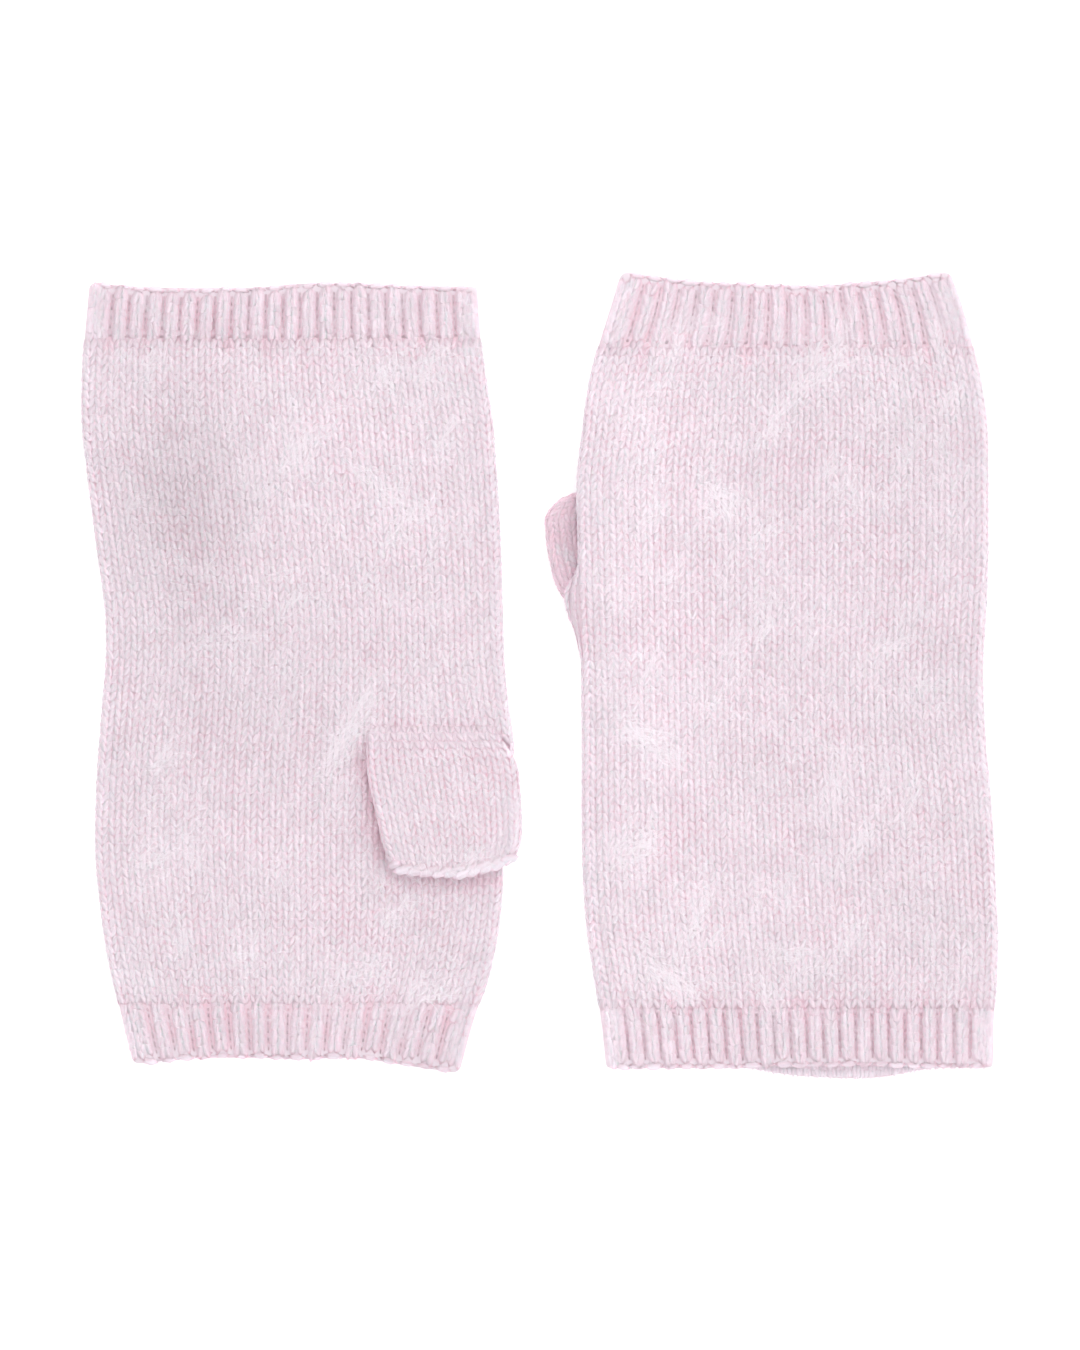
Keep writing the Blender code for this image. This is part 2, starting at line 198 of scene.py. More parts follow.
RIGHT = {
    "name": "right", "centre_x": 63.0, "wrist_y": -100.0, "across_sign": -1.0, "along_sign": 1.0,
    "palm_up": False, "wrist_rib_end": 15.8, "finger_rib_start": 182.8, "finger_hem": 199.7,
    "wrist_ribs": 23, "finger_ribs": 18,
    "outline": [
        (0.0, 52.8, 46.2), (14.0, 53.1, 47.8), (24.2, 53.7, 49.4), (34.4, 53.9, 50.9),
        (44.6, 53.4, 51.7), (65.0, 52.4, 52.2), (85.4, 50.6, 52.2), (100.7, 50.1, 52.4),
        (121.1, 51.1, 53.1), (131.3, 51.4, 53.3), (151.7, 51.4, 53.4), (161.9, 51.3, 52.2),
        (172.1, 50.1, 50.9), (182.3, 48.0, 48.6), (192.5, 45.0, 45.0), (202.7, 40.6, 41.5),
    ],
    "bulge": [(103.0, 0.0), (111.0, 2.2), (116.0, 4.0), (121.0, 4.6), (128.0, 0.0)],
    "thumb": [
        (118.8, 18.5, 57.6), (122.1, 19.5, 58.9), (128.5, 21.5, 60.4), (136.2, 23.5, 61.4),
        (141.0, 25.0, 61.3), (144.5, 27.0, 58.3), (147.5, 29.5, 53.5),
    ],
    "wrist_hem_line": [
        (0.0, 0.2, 0.2), (0.15, 0.0, 0.5), (0.28, -0.3, 2.7), (0.42, -0.3, 2.8),
        (0.55, -0.2, 1.8), (0.64, 0.1, 0.3), (1.0, 0.3, 0.3),
    ],
    "finger_hem_line": [
        (0.0, 3.0, 2.4), (0.10, 1.7, 1.2), (0.25, 0.5, 0.2), (0.42, -0.4, -0.4),
        (0.60, 0.0, -0.2), (0.80, 0.9, 0.5), (1.0, 3.0, 2.4),
    ],
    "folds": [
        (-14.0, 25.0, 0.0, 33.0, 0.7, 6.0), (14.0, 82.0, 36.0, 96.0, 0.5, 9.0),
        (-30.0, 130.0, -12.0, 152.0, 0.5, 9.0),
    ],
}
print("two gloves,", len(LEFT["outline"]) + len(RIGHT["outline"]), "outline sections")

# %% [markdown]
# ## The surfaces that everything lies on
#
# A flattened tube has two flat runs and two tightly folded edges. Each function below gives points
# of a surface for a turn round the tube, from 0 at the outer fold over the upper layer to 0.5 at the
# thumb's fold and back beneath to 1, and a distance along it. A height lifts the point off the
# solid's outer face. Cloth wall, stitches and fibres all use the same functions, so they agree.


# %% Smooth steps and tables
def smoothstep(value, start, end):
    share = np.clip((value - start) / (end - start), 0.0, 1.0)
    return share * share * (3.0 - 2.0 * share)


def read_table(rows, column, at):
    """A smooth curve through one column of a table, held level past its ends."""
    places = np.array([row[0] for row in rows])
    values = np.array([row[column] for row in rows])
    slopes = np.gradient(values, places)
    at = np.clip(at, places[0], places[-1])
    index = np.clip(np.searchsorted(places, at) - 1, 0, len(places) - 2)
    span = places[index + 1] - places[index]
    share = (at - places[index]) / span
    near = (1.0 + 2.0 * share) * (1.0 - share) ** 2 * values[index]
    far = share**2 * (3.0 - 2.0 * share) * values[index + 1]
    lean = share * (1.0 - share) ** 2 * slopes[index] - share**2 * (1.0 - share) * slopes[index + 1]
    return near + far + lean * span


def edge_lines(glove, along):
    """The hand's outer edge and its thumb edge, across, at a distance along."""
    return -read_table(glove["outline"], 1, along), read_table(glove["outline"], 2, along)


def thumb_tip(glove):
    return glove["thumb"][-1][0] + THUMB_TIP_BOW


# %% How the layers lie on one another
def thumb_rise(along, before=0.0):
    return THUMB_STACK * smoothstep(along, SLIT_FROM - before, SLIT_FROM + THUMB_RISE)


def fold_height(glove, across, along):
    height = 0.0 * across
    for start_across, start_along, end_across, end_along, peak, half_width in glove["folds"]:
        run = np.array([end_across - start_across, end_along - start_along])
        share = (across - start_across) * run[0] + (along - start_along) * run[1]
        share = np.clip(share / (run @ run), 0.0, 1.0)
        off_across = across - start_across - share * run[0]
        off_along = along - start_along - share * run[1]
        height = height + peak * np.exp(-(off_across**2 + off_along**2) / half_width**2)
    outer, thumb = edge_lines(glove, along)
    past_outer = smoothstep(across, outer, outer + EDGE_FADE)
    return past_outer * (1.0 - smoothstep(across, thumb - EDGE_FADE, thumb)) * height


def lift(glove, across, along, layer):
    """How far the under layer, 0, or the upper layer, 1, is raised where it lies over a thumb."""
    if glove["palm_up"]:
        return 0.0 * across
    inner_edge = read_table(glove["thumb"], 1, along) - DRAPE_CLEARANCE
    tip = thumb_tip(glove) + DRAPE_CLEARANCE
    beside = smoothstep(across, inner_edge - DRAPE_BEYOND_SIDE[layer], inner_edge)
    beyond = 1.0 - smoothstep(along, tip, tip + DRAPE_BEYOND_TIP[layer])
    return thumb_rise(along, DRAPE_BEFORE_SLIT[layer]) * beside * beyond


def palm_face(glove, across, along):
    if not glove["palm_up"]:
        return lift(glove, across, along, 0)
    return FLAT_THICKNESS + fold_height(glove, across, along)


def to_world(glove, across, along, height):
    x = glove["centre_x"] + glove["across_sign"] * across
    y = glove["wrist_y"] + glove["along_sign"] * along
    return np.stack([x, y, height], axis=-1) * MM


def in_glove(glove, points):
    """Across and along a glove, for points in metres."""
    across = (points[:, 0] / MM - glove["centre_x"]) * glove["across_sign"]
    return across, (points[:, 1] / MM - glove["wrist_y"]) * glove["along_sign"]


# %% The hand tube
def loop_at(turn, arc=ARC_SHARE):
    """Share across, and the direction outwards as a cosine and a sine, for a turn round a tube."""
    half = np.mod(turn, 1.0) * 2.0
    across = np.where(half < 1.0, half, 2.0 - half)
    angle = np.clip(np.minimum(across, 1.0 - across) / arc, 0.0, 1.0) * np.pi / 2
    share = np.clip((across - arc) / (1.0 - 2.0 * arc), 0.0, 1.0)
    cosine = np.cos(angle) * np.where(across < 0.5, -1.0, 1.0)
    return share, cosine, np.sin(angle) * np.where(half < 1.0, 1.0, -1.0)


def turn_of_share(share, upper=True):
    across = (ARC_SHARE + share * (1.0 - 2.0 * ARC_SHARE)) / 2.0
    return across if upper else 1.0 - across


def hand_surface(glove, turn, along, height):
    """Points of the hand tube's outer face, raised by a height."""
    share, cosine, sine = loop_at(turn)
    radius = FLAT_THICKNESS / 2
    outer, thumb = edge_lines(glove, along)
    outer, thumb = outer + radius, thumb - radius
    palm_side = (1.0 + sine) / 2 if glove["palm_up"] else (1.0 - sine) / 2
    bulge = read_table(glove["bulge"], 1, along) * palm_side * smoothstep(share, 0.7, 1.0)
    across = outer + share * (thumb - outer) + bulge
    folds = np.clip(sine, 0.0, 1.0) * fold_height(glove, across, along)
    under_lift = lift(glove, across, along, 0)
    upper_lift = lift(glove, across, along, 1)
    middle = radius + under_lift + (upper_lift - under_lift) * (1.0 + sine) / 2 + folds
    reach = radius + height
    return to_world(glove, across + cosine * reach, along + 0.0 * across, middle + sine * reach)


# %% The thumb tube, out of its slit and along the palm
# share along the thumb, far layer along, near layer along, near layer height over the palm
THUMB_RAILS = [
    (0.0, 112.3, 121.2, -1.4),
    (0.06, 114.6, 121.2, -0.2),
    (0.12, 116.9, 121.35, 0.35),
    (0.18, 119.2, 122.6, 0.33),
    (0.25, 121.8, 124.0, 0.31),
    (0.35, 125.6, 126.6, 0.3),
    (0.48, 130.5, 130.5, 0.3),
]
THUMB_HEM_SETBACK = 0.9
THUMB_OPENS_FROM, THUMB_OPENS_TO = 112.0, 120.5
THUMB_BOWS_FROM = 130.0
SLIT_CLEARANCE = 0.4


def thumb_edges(glove, far_along):
    """The thumb's inner and outer edge: inside the slit at first, then at its own width."""
    radius = FLAT_THICKNESS / 2
    middle = (SLIT_FROM + SLIT_TO) / 2
    outer, thumb = edge_lines(glove, middle)
    outer, thumb = outer + radius, thumb - radius
    slit_inner = outer + SLIT_INNER_SHARE * (thumb - outer) + SLIT_CLEARANCE
    slit_outer = outer + SLIT_OUTER_SHARE * (thumb - outer) - SLIT_CLEARANCE
    slit_outer = slit_outer + read_table(glove["bulge"], 1, middle)
    opened = smoothstep(far_along, THUMB_OPENS_FROM, THUMB_OPENS_TO)
    inner = slit_inner + opened * (read_table(glove["thumb"], 1, far_along) - slit_inner)
    return inner, slit_outer + opened * (read_table(glove["thumb"], 2, far_along) - slit_outer)


def thumb_surface(glove, turn, course_share, height):
    """Points of the thumb tube's outer face, for a share of its length from slit to tip."""
    share, cosine, sine = loop_at(turn, THUMB_ARC_SHARE)
    last = glove["thumb"][-1][0]
    end = last - THUMB_HEM_SETBACK
    rails = THUMB_RAILS + [(1.0, end, end, SEAM)]
    far, near, near_height = (read_table(rails, column, course_share) for column in (1, 2, 3))
    inner, outer = thumb_edges(glove, far)
    radius = THUMB_THICKNESS / 2
    start, end = inner + radius, outer - radius
    across = start + share * (end - start) + cosine * (radius + height)
    along = near + (far - near) * (1.0 + sine) / 2
    stack = near_height + (thumb_rise(far) - near_height) * (1.0 + sine) / 2 + sine * height
    bow = THUMB_TIP_BOW * (1.0 - ((share - 0.4) / 0.6) ** 2)
    along = along + bow * smoothstep(far, THUMB_BOWS_FROM, last) ** 2
    face = palm_face(glove, across, along)
    return to_world(glove, across, along, face + (stack if glove["palm_up"] else -stack))


# %% Directions on a surface
HAND_STEPS = (0.002, 0.3)
THUMB_STEPS = (0.004, 0.01)


def directions(surface, turn, along, height=0.0, steps=HAND_STEPS):
    """Points of a surface with unit directions round it, along it and out of it."""
    point = surface(turn, along, height)
    around = surface(turn + steps[0], along, height) - surface(turn - steps[0], along, height)
    run = surface(turn, along + steps[1], height) - surface(turn, along - steps[1], height)
    out = np.cross(around, run)
    rising = surface(turn, along, height + 0.2) - point
    out = out * np.sign((out * rising).sum(axis=-1, keepdims=True))
    return point, *(v / (np.linalg.norm(v, axis=-1, keepdims=True) + 1e-12) for v in (around, run, out))


print("surfaces ready")

# %% [markdown]
# ## The yarn
#
# Brushed yarn is a pale core in a mist of fibres. Its colour is nearly white with a touch of lilac
# pink where light falls on it and a clearer pink where the yarns shade each other, because light
# that bounces between pink fibres gets pinker. One node group makes the colour and the fibre relief,
# and each material places it with its own values.


# %% Helpers for node trees
def feed(tree, socket, value):
    """Links a socket to another node's output, or sets it to a plain value."""
    if isinstance(value, bpy.types.NodeSocket):
        tree.links.new(value, socket)
    else:
        socket.default_value = value


def add_node(tree, kind, inputs=(), **settings):
    node = tree.nodes.new(kind)
    for key, value in settings.items():
        setattr(node, key, value)
    for key, value in dict(inputs).items():
        feed(tree, node.inputs[key], value)
    return node


def maths(tree, operation, *values):
    return add_node(tree, "ShaderNodeMath", enumerate(values), operation=operation).outputs[0]


def new_tree(name, kind, takes, gives):
    """An empty node tree with its named sockets, and the outputs of its input node."""
    tree = bpy.data.node_groups.new(name, kind)
    for side, sockets in (("INPUT", takes), ("OUTPUT", gives)):
        for socket_type, socket_name in sockets:
            tree.interface.new_socket(socket_name, in_out=side, socket_type="NodeSocket" + socket_type)
    return tree, tree.nodes.new("NodeGroupInput").outputs


# %% A shader group for brushed yarn
YARN_MAPS = ("Crest", "Tone", "Nap", "Shade")
COMBED = (1.0, 0.4, 1.0)
BLOTCH_SCALE, FIBRE_SCALE = 260.0, 2600.0
CREST_DEEP, CREST_PALE = 0.3, 0.7
NAP_SHARE, BLOTCH_SHARE, FIBRE_SHARE = 0.8, 0.9, 1.1
VALUE_LEVEL, VALUE_BY_TONE, VALUE_BY_FIBRE = 0.97, 0.03, 0.08


def noise(tree, place, scale, detail, distortion=0.0):
    values = {"Vector": place, "Scale": scale, "Detail": detail, "Distortion": distortion}
    return add_node(tree, "ShaderNodeTexNoise", values).outputs["Fac"]


def yarn_group():
    """Colour and relief of brushed yarn, with painted shade: deep in the gaps, pale on crests and where the
    nap is thick.
    """
    takes = [("Vector", "Place"), *(("Float", name) for name in YARN_MAPS)]
    takes += [("Color", "Pale"), ("Color", "Deep")]
    gives = [("Color", "Colour"), ("Float", "Relief")]
    tree, given = new_tree("brushed_yarn", "ShaderNodeTree", takes, gives)
    combed = add_node(tree, "ShaderNodeVectorMath", {0: given["Place"], 1: COMBED}, operation="MULTIPLY")
    blotch = noise(tree, given["Place"], BLOTCH_SCALE, 2.0)
    fibre = noise(tree, combed.outputs[0], FIBRE_SCALE, 3.0, 1.0)
    slope = 1.0 / (CREST_PALE - CREST_DEEP)
    covered = -CREST_DEEP * slope - (NAP_SHARE + BLOTCH_SHARE + FIBRE_SHARE) / 2
    for value, share in (
        (given["Crest"], slope), (given["Nap"], NAP_SHARE), (blotch, BLOTCH_SHARE), (fibre, FIBRE_SHARE),
    ):
        covered = maths(tree, "MULTIPLY_ADD", value, share, covered)
    mixed = {"Factor": covered, 6: given["Deep"], 7: given["Pale"]}
    base = add_node(tree, "ShaderNodeMix", mixed, data_type="RGBA").outputs[2]
    # The shade map takes painted shade off the value, and where it is negative it adds painted light.
    value = maths(tree, "MULTIPLY_ADD", given["Tone"], VALUE_BY_TONE, VALUE_LEVEL)
    value = maths(tree, "MULTIPLY_ADD", fibre, VALUE_BY_FIBRE, value)
    value = maths(tree, "SUBTRACT", value, given["Shade"])
    toned = add_node(tree, "ShaderNodeHueSaturation", {"Value": value, "Color": base})
    add_node(tree, "NodeGroupOutput", {"Colour": toned.outputs["Color"], "Relief": fibre})
    return tree


YARN = yarn_group()
print("yarn group:", len(YARN.nodes), "nodes")

# %% Yarn materials
# The deep and shaded colours are painted shade: the yarn is pinker and darker low in the gaps, where the
# yarns shade each other.
PALE_YARN = (0.777, 0.683, 0.746, 1.0)
PAINTED_SHADE_YARN = (0.79, 0.6, 0.68, 1.0)
SHADED_YARN = (0.78, 0.54, 0.62, 1.0)
FIBRE_TONE = (0.84, 0.775, 0.83, 1.0)
GLOW = (0.5, 1.0, 0.85)
GLOW_REACH = 0.002
RELIEF_HEIGHT = 0.0003


def yarn_material(name, pale, deep, glow=0.85, relief=0.2):
    material = bpy.data.materials.new(name)
    material.use_nodes = True
    tree = material.node_tree
    shader = tree.nodes["Principled BSDF"]
    shader.subsurface_method = "BURLEY"
    set_inputs(shader, {
        "Roughness": 0.95, "Specular IOR Level": 0.1, "Sheen Weight": 0.3, "Sheen Roughness": 0.6,
        "Subsurface Weight": glow, "Subsurface Radius": GLOW, "Subsurface Scale": GLOW_REACH,
    })
    place = tree.nodes.new("ShaderNodeTexCoord").outputs["Object"]
    yarn = add_node(tree, "ShaderNodeGroup", {"Place": place, "Pale": pale, "Deep": deep}, node_tree=YARN)
    for map_name in YARN_MAPS:
        reader = add_node(tree, "ShaderNodeAttribute", attribute_name=map_name.lower())
        feed(tree, yarn.inputs[map_name], reader.outputs["Fac"])
    feed(tree, shader.inputs["Base Color"], yarn.outputs["Colour"])
    if relief:
        values = {"Strength": relief, "Distance": RELIEF_HEIGHT, "Height": yarn.outputs["Relief"]}
        feed(tree, shader.inputs["Normal"], add_node(tree, "ShaderNodeBump", values).outputs["Normal"])
    return material


GROUND_FINISH = yarn_material("knit_ground", PALE_YARN, SHADED_YARN, glow=0.0)
LEG_FINISH = yarn_material("knit_yarn", PALE_YARN, PAINTED_SHADE_YARN)
FIBRE_FINISH = yarn_material("brushed_fibre", FIBRE_TONE, FIBRE_TONE, glow=0.0, relief=0.0)
print("materials:", GROUND_FINISH.name, LEG_FINISH.name, FIBRE_FINISH.name)

# %% [markdown]
# ## How the nap lies
#
# Brushing never raises the same mist everywhere. Broad thick and thin patches come from a sum of
# slow waves. The streaks that show most are listed one by one and many faint ones are scattered, and
# each pulls its fibres along itself. Yarn colour and fibres read the same map, so a misty patch is
# both paler and furrier. Broad patches of painted shade and painted light make the cloth greyer or
# brighter.

# %% Waves and streaks
WAVES = 16
SHORTEST_WAVE, LONGEST_WAVE = 9.0, 60.0
# x, y in millimetres, length and direction in degrees of a streak, half width, strength
STREAKS = [
    (-50.0, -16.0, 22.0, 62.0, 2.6, 1.2),
    (-36.0, -60.0, 10.0, 60.0, 2.5, 0.8),
    (-43.0, 50.0, 20.0, -42.0, 2.2, 0.8),
    (-95.0, -45.0, 14.0, 35.0, 5.0, 0.4),
    (60.0, 63.0, 10.0, 84.0, 1.2, 1.0),
    (65.5, 70.0, 10.0, 60.0, 1.1, 1.0),
    (69.5, 79.0, 8.0, 78.0, 1.0, 0.8),
    (24.0, -14.0, 18.0, -35.0, 3.0, 1.2),
    (20.0, -45.0, 10.0, 15.0, 3.0, 1.5),
    (32.0, -76.0, 11.0, -35.0, 3.0, 1.4),
    (73.0, -73.0, 18.0, 40.0, 2.6, 0.9),
    (90.0, 8.0, 20.0, 55.0, 3.0, 0.7),
    (75.0, -30.0, 18.0, 75.0, 3.0, 0.7),
    (-43.0, -32.0, 28.0, -79.0, 2.5, -0.8),
    (-21.0, -53.8, 26.0, 2.0, 2.6, -0.8),
]
TUFTS = 150
TUFT_DIRECTION, TUFT_SPREAD = 55.0, 38.0


def scattered_tufts(seed):
    """Small streaks of combed fibres all over both gloves, most of them leaning the same way."""
    rng = np.random.default_rng(seed)
    columns = [rng.uniform(low, high, TUFTS) for low, high in ((-116.0, 116.0), (-95.0, 95.0), (5.0, 14.0))]
    columns += [rng.normal(TUFT_DIRECTION, TUFT_SPREAD, TUFTS)]
    columns += [rng.uniform(low, high, TUFTS) for low, high in ((0.8, 1.8), (0.4, 1.3))]
    return np.stack(columns, axis=-1).tolist()


STREAKS_AND_TUFTS = STREAKS + scattered_tufts(4)


def waves_at(x, y, seed):
    rng = np.random.default_rng(seed)
    total = 0.0 * x
    for _ in range(WAVES):
        angle, phase = rng.uniform(0.0, 2.0 * np.pi, 2)
        wavelength = np.exp(rng.uniform(np.log(SHORTEST_WAVE), np.log(LONGEST_WAVE)))
        distance = x * np.cos(angle) + y * np.sin(angle)
        total = total + np.sin(distance / wavelength * 2.0 * np.pi + phase)
    return total / np.sqrt(WAVES / 2.0)


def streaks_at(x, y):
    """The strength of all streaks at a place, and the way they pull the fibres there."""
    total, pull_x, pull_y = 0.0 * x, 0.0 * x, 0.0 * x
    for start_x, start_y, length, degrees, half_width, strength in STREAKS_AND_TUFTS:
        way = np.radians(degrees)
        along = (x - start_x) * np.cos(way) + (y - start_y) * np.sin(way)
        off = -(x - start_x) * np.sin(way) + (y - start_y) * np.cos(way)
        beyond = along - np.clip(along, -length / 2, length / 2)
        here = strength * np.exp(-(beyond**2 + off**2) / half_width**2)
        total, pull_x, pull_y = total + here, pull_x + here * np.cos(way), pull_y + here * np.sin(way)
    return total, pull_x, pull_y


# %% Maps of the nap
NAP_LEVEL, NAP_BY_WAVES = 0.42, 0.15
SHADE_BY_WAVES = 0.012
# x, y in millimetres, half width across and along, depth of painted shade there (negative: painted light)
PAINTED_LIGHT_AND_SHADE = [
    (-91.0, 48.0, 16.0, 26.0, 0.15),
    (-86.0, 15.0, 14.0, 18.0, 0.06),
    (-72.0, -9.0, 22.0, 22.0, 0.05),
    (-55.0, 65.0, 20.0, 20.0, -0.03),
    (28.0, 10.0, 18.0, 110.0, -0.06),
    (97.0, 10.0, 14.0, 90.0, 0.035),
    (64.0, 60.0, 16.0, 20.0, 0.025),
    (5.0, 28.0, 5.0, 20.0, 0.06),
]


def nap_at(points):
    """The thickness of the nap at points in metres: about 0.45 on the whole, more in misty patches."""
    x, y = points[..., 0] / MM, points[..., 1] / MM
    return np.clip(NAP_LEVEL + NAP_BY_WAVES * waves_at(x, y, 7) + streaks_at(x, y)[0], 0.05, 2.0)


def shade_at(points):
    """How much darker and greyer the cloth is painted: painted shade in broad patches, painted light where
    a patch is negative, over slow random waves of tone.
    """
    x, y = points[..., 0] / MM, points[..., 1] / MM
    shade = SHADE_BY_WAVES * waves_at(x, y, 11)
    for centre_x, centre_y, half_x, half_y, depth in PAINTED_LIGHT_AND_SHADE:
        shade = shade + depth * np.exp(-(((x - centre_x) / half_x) ** 2) - ((y - centre_y) / half_y) ** 2)
    return shade


# The turned patches are the patches of painted shade and painted light.
print(len(STREAKS), "streaks of nap,", TUFTS, "tufts,", len(PAINTED_LIGHT_AND_SHADE), "turned patches")

# %% [markdown]
# ## The cloth wall of each piece
#
# Under the stitches each piece is one closed wall of cloth with its true hollow: an outer face a
# little below the stitches, an inner face, and rounded hems. It is lofted row by row from the
# surface functions, finely enough that folded edges and hems are round.

# %% Lofting a wall
GROUND_INSET = 0.12
GROUND_CREST, EDGE_CREST, INNER_CREST = 0.5, 0.85, 0.65
JOINT_GAP = 0.02
WALES_ROUND = 68
COURSE = 2.15


def paint(mesh, **maps):
    """Keeps named numbers or directions for each point of a mesh."""
    for key, values in maps.items():
        vector = values.ndim == 2
        layer = mesh.attributes.new(key, "FLOAT_VECTOR" if vector else "FLOAT", "POINT")
        layer.data.foreach_set("vector" if vector else "value", values.ravel().astype(np.float32))


def finish_shape(work, mesh):
    """Turns the faces outwards and writes the edited shape to a mesh."""
    bmesh.ops.recalc_face_normals(work, faces=work.faces[:])
    work.to_mesh(mesh)
    work.free()
    return mesh


def slit_ring(grid, hole):
    """The points round a slit in a grid of points, in order."""
    first, last, left, right = hole
    sides = (grid[first, left:right], grid[first:last, right])
    return np.concatenate([*sides, grid[last, right:left:-1], grid[last:first:-1, left]])


def wall_piece(name, outer, inner, crest, knit_map, hole=None):
    """A closed wall lofted between rows of outer and inner points, with an optional slit."""
    rows, count = outer.shape[:2]
    total = rows * count
    grid = np.arange(total).reshape(rows, count)
    after = np.roll(grid, -1, axis=1)
    keep = np.ones((rows - 1, count), bool)
    if hole is not None:
        keep[hole[0]:hole[1], hole[2]:hole[3]] = False
    quads = np.stack([grid[:-1], after[:-1], after[1:], grid[1:]], axis=-1)[keep]
    rims = [np.stack([grid[r], after[r], after[r] + total, grid[r] + total], axis=-1) for r in (0, -1)]
    faces = [quads, quads[:, ::-1] + total, rims[0], rims[1][:, ::-1]]
    if hole is not None:
        ring = slit_ring(grid, hole)
        onward = np.roll(ring, -1)
        faces.append(np.stack([ring, ring + total, onward + total, onward], axis=-1))
    mesh = bpy.data.meshes.new(name)
    points = np.concatenate([outer.reshape(-1, 3), inner.reshape(-1, 3)])
    mesh.from_pydata(points.tolist(), [], np.concatenate(faces).tolist())
    crest = np.concatenate([crest.ravel(), np.full(total, INNER_CREST)])
    paint(mesh, crest=crest, tone=0.0 * crest, nap=nap_at(points), shade=shade_at(points))
    chart = mesh.uv_layers.new(name="knit")
    corner = np.empty(len(mesh.loops), np.int32)
    mesh.loops.foreach_get("vertex_index", corner)
    chart.data.foreach_set("uv", knit_map.reshape(-1, 2)[corner % total].ravel())
    work = bmesh.new()
    work.from_mesh(mesh)
    finish_shape(work, mesh).shade_smooth()
    mesh.materials.append(GROUND_FINISH)
    print(name, len(mesh.polygons), "faces")
    return placed(name, mesh)


# %% Where a wall's rows and columns lie
def spaced(*stops, step):
    """Places from the first stop to the last, about a step apart, with every stop among them."""
    places = [stops[0]]
    for start, end in zip(stops, stops[1:]):
        spans = max(1, round(abs(end - start) / step))
        places += list(np.linspace(start, end, spans + 1)[1:])
    return np.array(places)


def tube_turns(step, arc=ARC_SHARE):
    slit = [turn_of_share(s) for s in (SLIT_INNER_SHARE, SLIT_OUTER_SHARE)]
    edge = arc / 2
    upper = spaced(0.0, edge / 2, edge, *slit, 0.5 - edge, 0.5 - edge / 2, 0.5, step=step)
    fine = np.array([edge * 0.25, edge * 0.75, 0.5 - edge * 0.25, 0.5 - edge * 0.75])
    upper = np.unique(np.round(np.concatenate([upper, fine]), 9))
    return np.concatenate([upper, 1.0 - upper[1:-1][::-1]])


def covered_at(sine):
    """1 where stitches cover a wall, 0 where it rests on the surface below."""
    return smoothstep(sine, -0.9, 0.2)


def facing_up(sine):
    """1 on the upper layer, fading out round its folds."""
    return smoothstep(sine, 0.3, 0.9)


def ground_crest(turn, level=GROUND_CREST):
    """How pale the wall is: deep under the stitches, paler round the folds, where more light reaches it."""
    return level + (EDGE_CREST - level) * (1.0 - facing_up(loop_at(turn)[2]))


# %% The hand's stockinette wall
HAND_TURN_STEP, HAND_ALONG_STEP = 0.01, 3.2


def make_hand(glove):
    turns = tube_turns(HAND_TURN_STEP)
    start = glove["wrist_rib_end"] + JOINT_GAP / 2
    end = glove["finger_rib_start"] - JOINT_GAP / 2
    alongs = spaced(start, SLIT_FROM, SLIT_TO, end, step=HAND_ALONG_STEP)
    turn, along = np.meshgrid(turns, alongs)
    outer = hand_surface(glove, turn, along, -GROUND_INSET * covered_at(loop_at(turn)[2]))
    inner = hand_surface(glove, turn, along, -WALL)
    slit = [turn_of_share(s, glove["palm_up"]) for s in (SLIT_INNER_SHARE, SLIT_OUTER_SHARE)]
    columns = sorted(int(np.argmin(abs(turns - place))) for place in slit)
    rows = [int(np.argmin(abs(alongs - place))) for place in (SLIT_FROM, SLIT_TO)]
    chart = np.stack([turn * WALES_ROUND, along / COURSE], axis=-1)
    name = f"{glove['name']}_hand_cloth"
    return wall_piece(name, outer, inner, ground_crest(turn), chart, (*rows, *columns))


hands = {glove["name"]: make_hand(glove) for glove in (LEFT, RIGHT)}

# %% The ribs' surface
RIB_CREST_RISE = 0.2
VALLEY_EDGES = (0.06, 0.24)
VALLEYS_FROM_HEM = (0.8, 2.6)
RIB_FADE = 4.0


def rib_profile(share, ribs):
    """1 on a rib's crest and 0 in the valley beside it. The folds themselves are crests."""
    phase = np.mod(share * ribs, 1.0)
    at_fold = np.abs(share - 0.5) > 0.5 - 0.5 / ribs
    return np.where(at_fold, 1.0, smoothstep(np.minimum(phase, 1.0 - phase), *VALLEY_EDGES))


def band_surface(glove, hem, seam, hem_line, turn, distance, height):
    """Points of a ribbed band, for a distance from its hem towards its seam."""
    share, _, sine = loop_at(turn)
    towards = np.sign(seam - hem)
    under = read_table(hem_line, 2, share)
    reach = under + (read_table(hem_line, 1, share) - under) * (1.0 + sine) / 2
    fade = np.clip(1.0 - distance / abs(seam - hem), 0.0, 1.0)
    point = hand_surface(glove, turn, hem + towards * distance, height)
    point[..., 1] -= glove["along_sign"] * towards * reach * fade * MM
    return point


def band_relief(turn, distance, length, ribs):
    """How much of a crest a place is, and how far it stands off. Ribs fade at the folds, hem and body."""
    share, _, sine = loop_at(turn)
    fade = facing_up(sine) * (1.0 - smoothstep(distance, length - RIB_FADE, length))
    rib = rib_profile(share, ribs)
    crest = 1.0 - (1.0 - rib) * fade * smoothstep(distance, *VALLEYS_FROM_HEM)
    return crest, fade * RIB_CREST_RISE * rib - GROUND_INSET * covered_at(sine) * (1.0 - fade * rib)


# %% The ribbed walls
# Rib valleys are coloured deeper than the crests, as painted shade in the recesses.
RIB_VALLEY_CREST = 0.58
HEM_ROUNDING = 1.1
COLUMNS_PER_RIB = 6
UNDER_TURN_STEP, BAND_STEP = 0.008, 1.2
HEM_ROWS = [0.0, 0.12, 0.35, 0.7, 1.1]
PAST_HEM_ROWS = 1.8
HEM_SHADE = (1.2, 2.4)


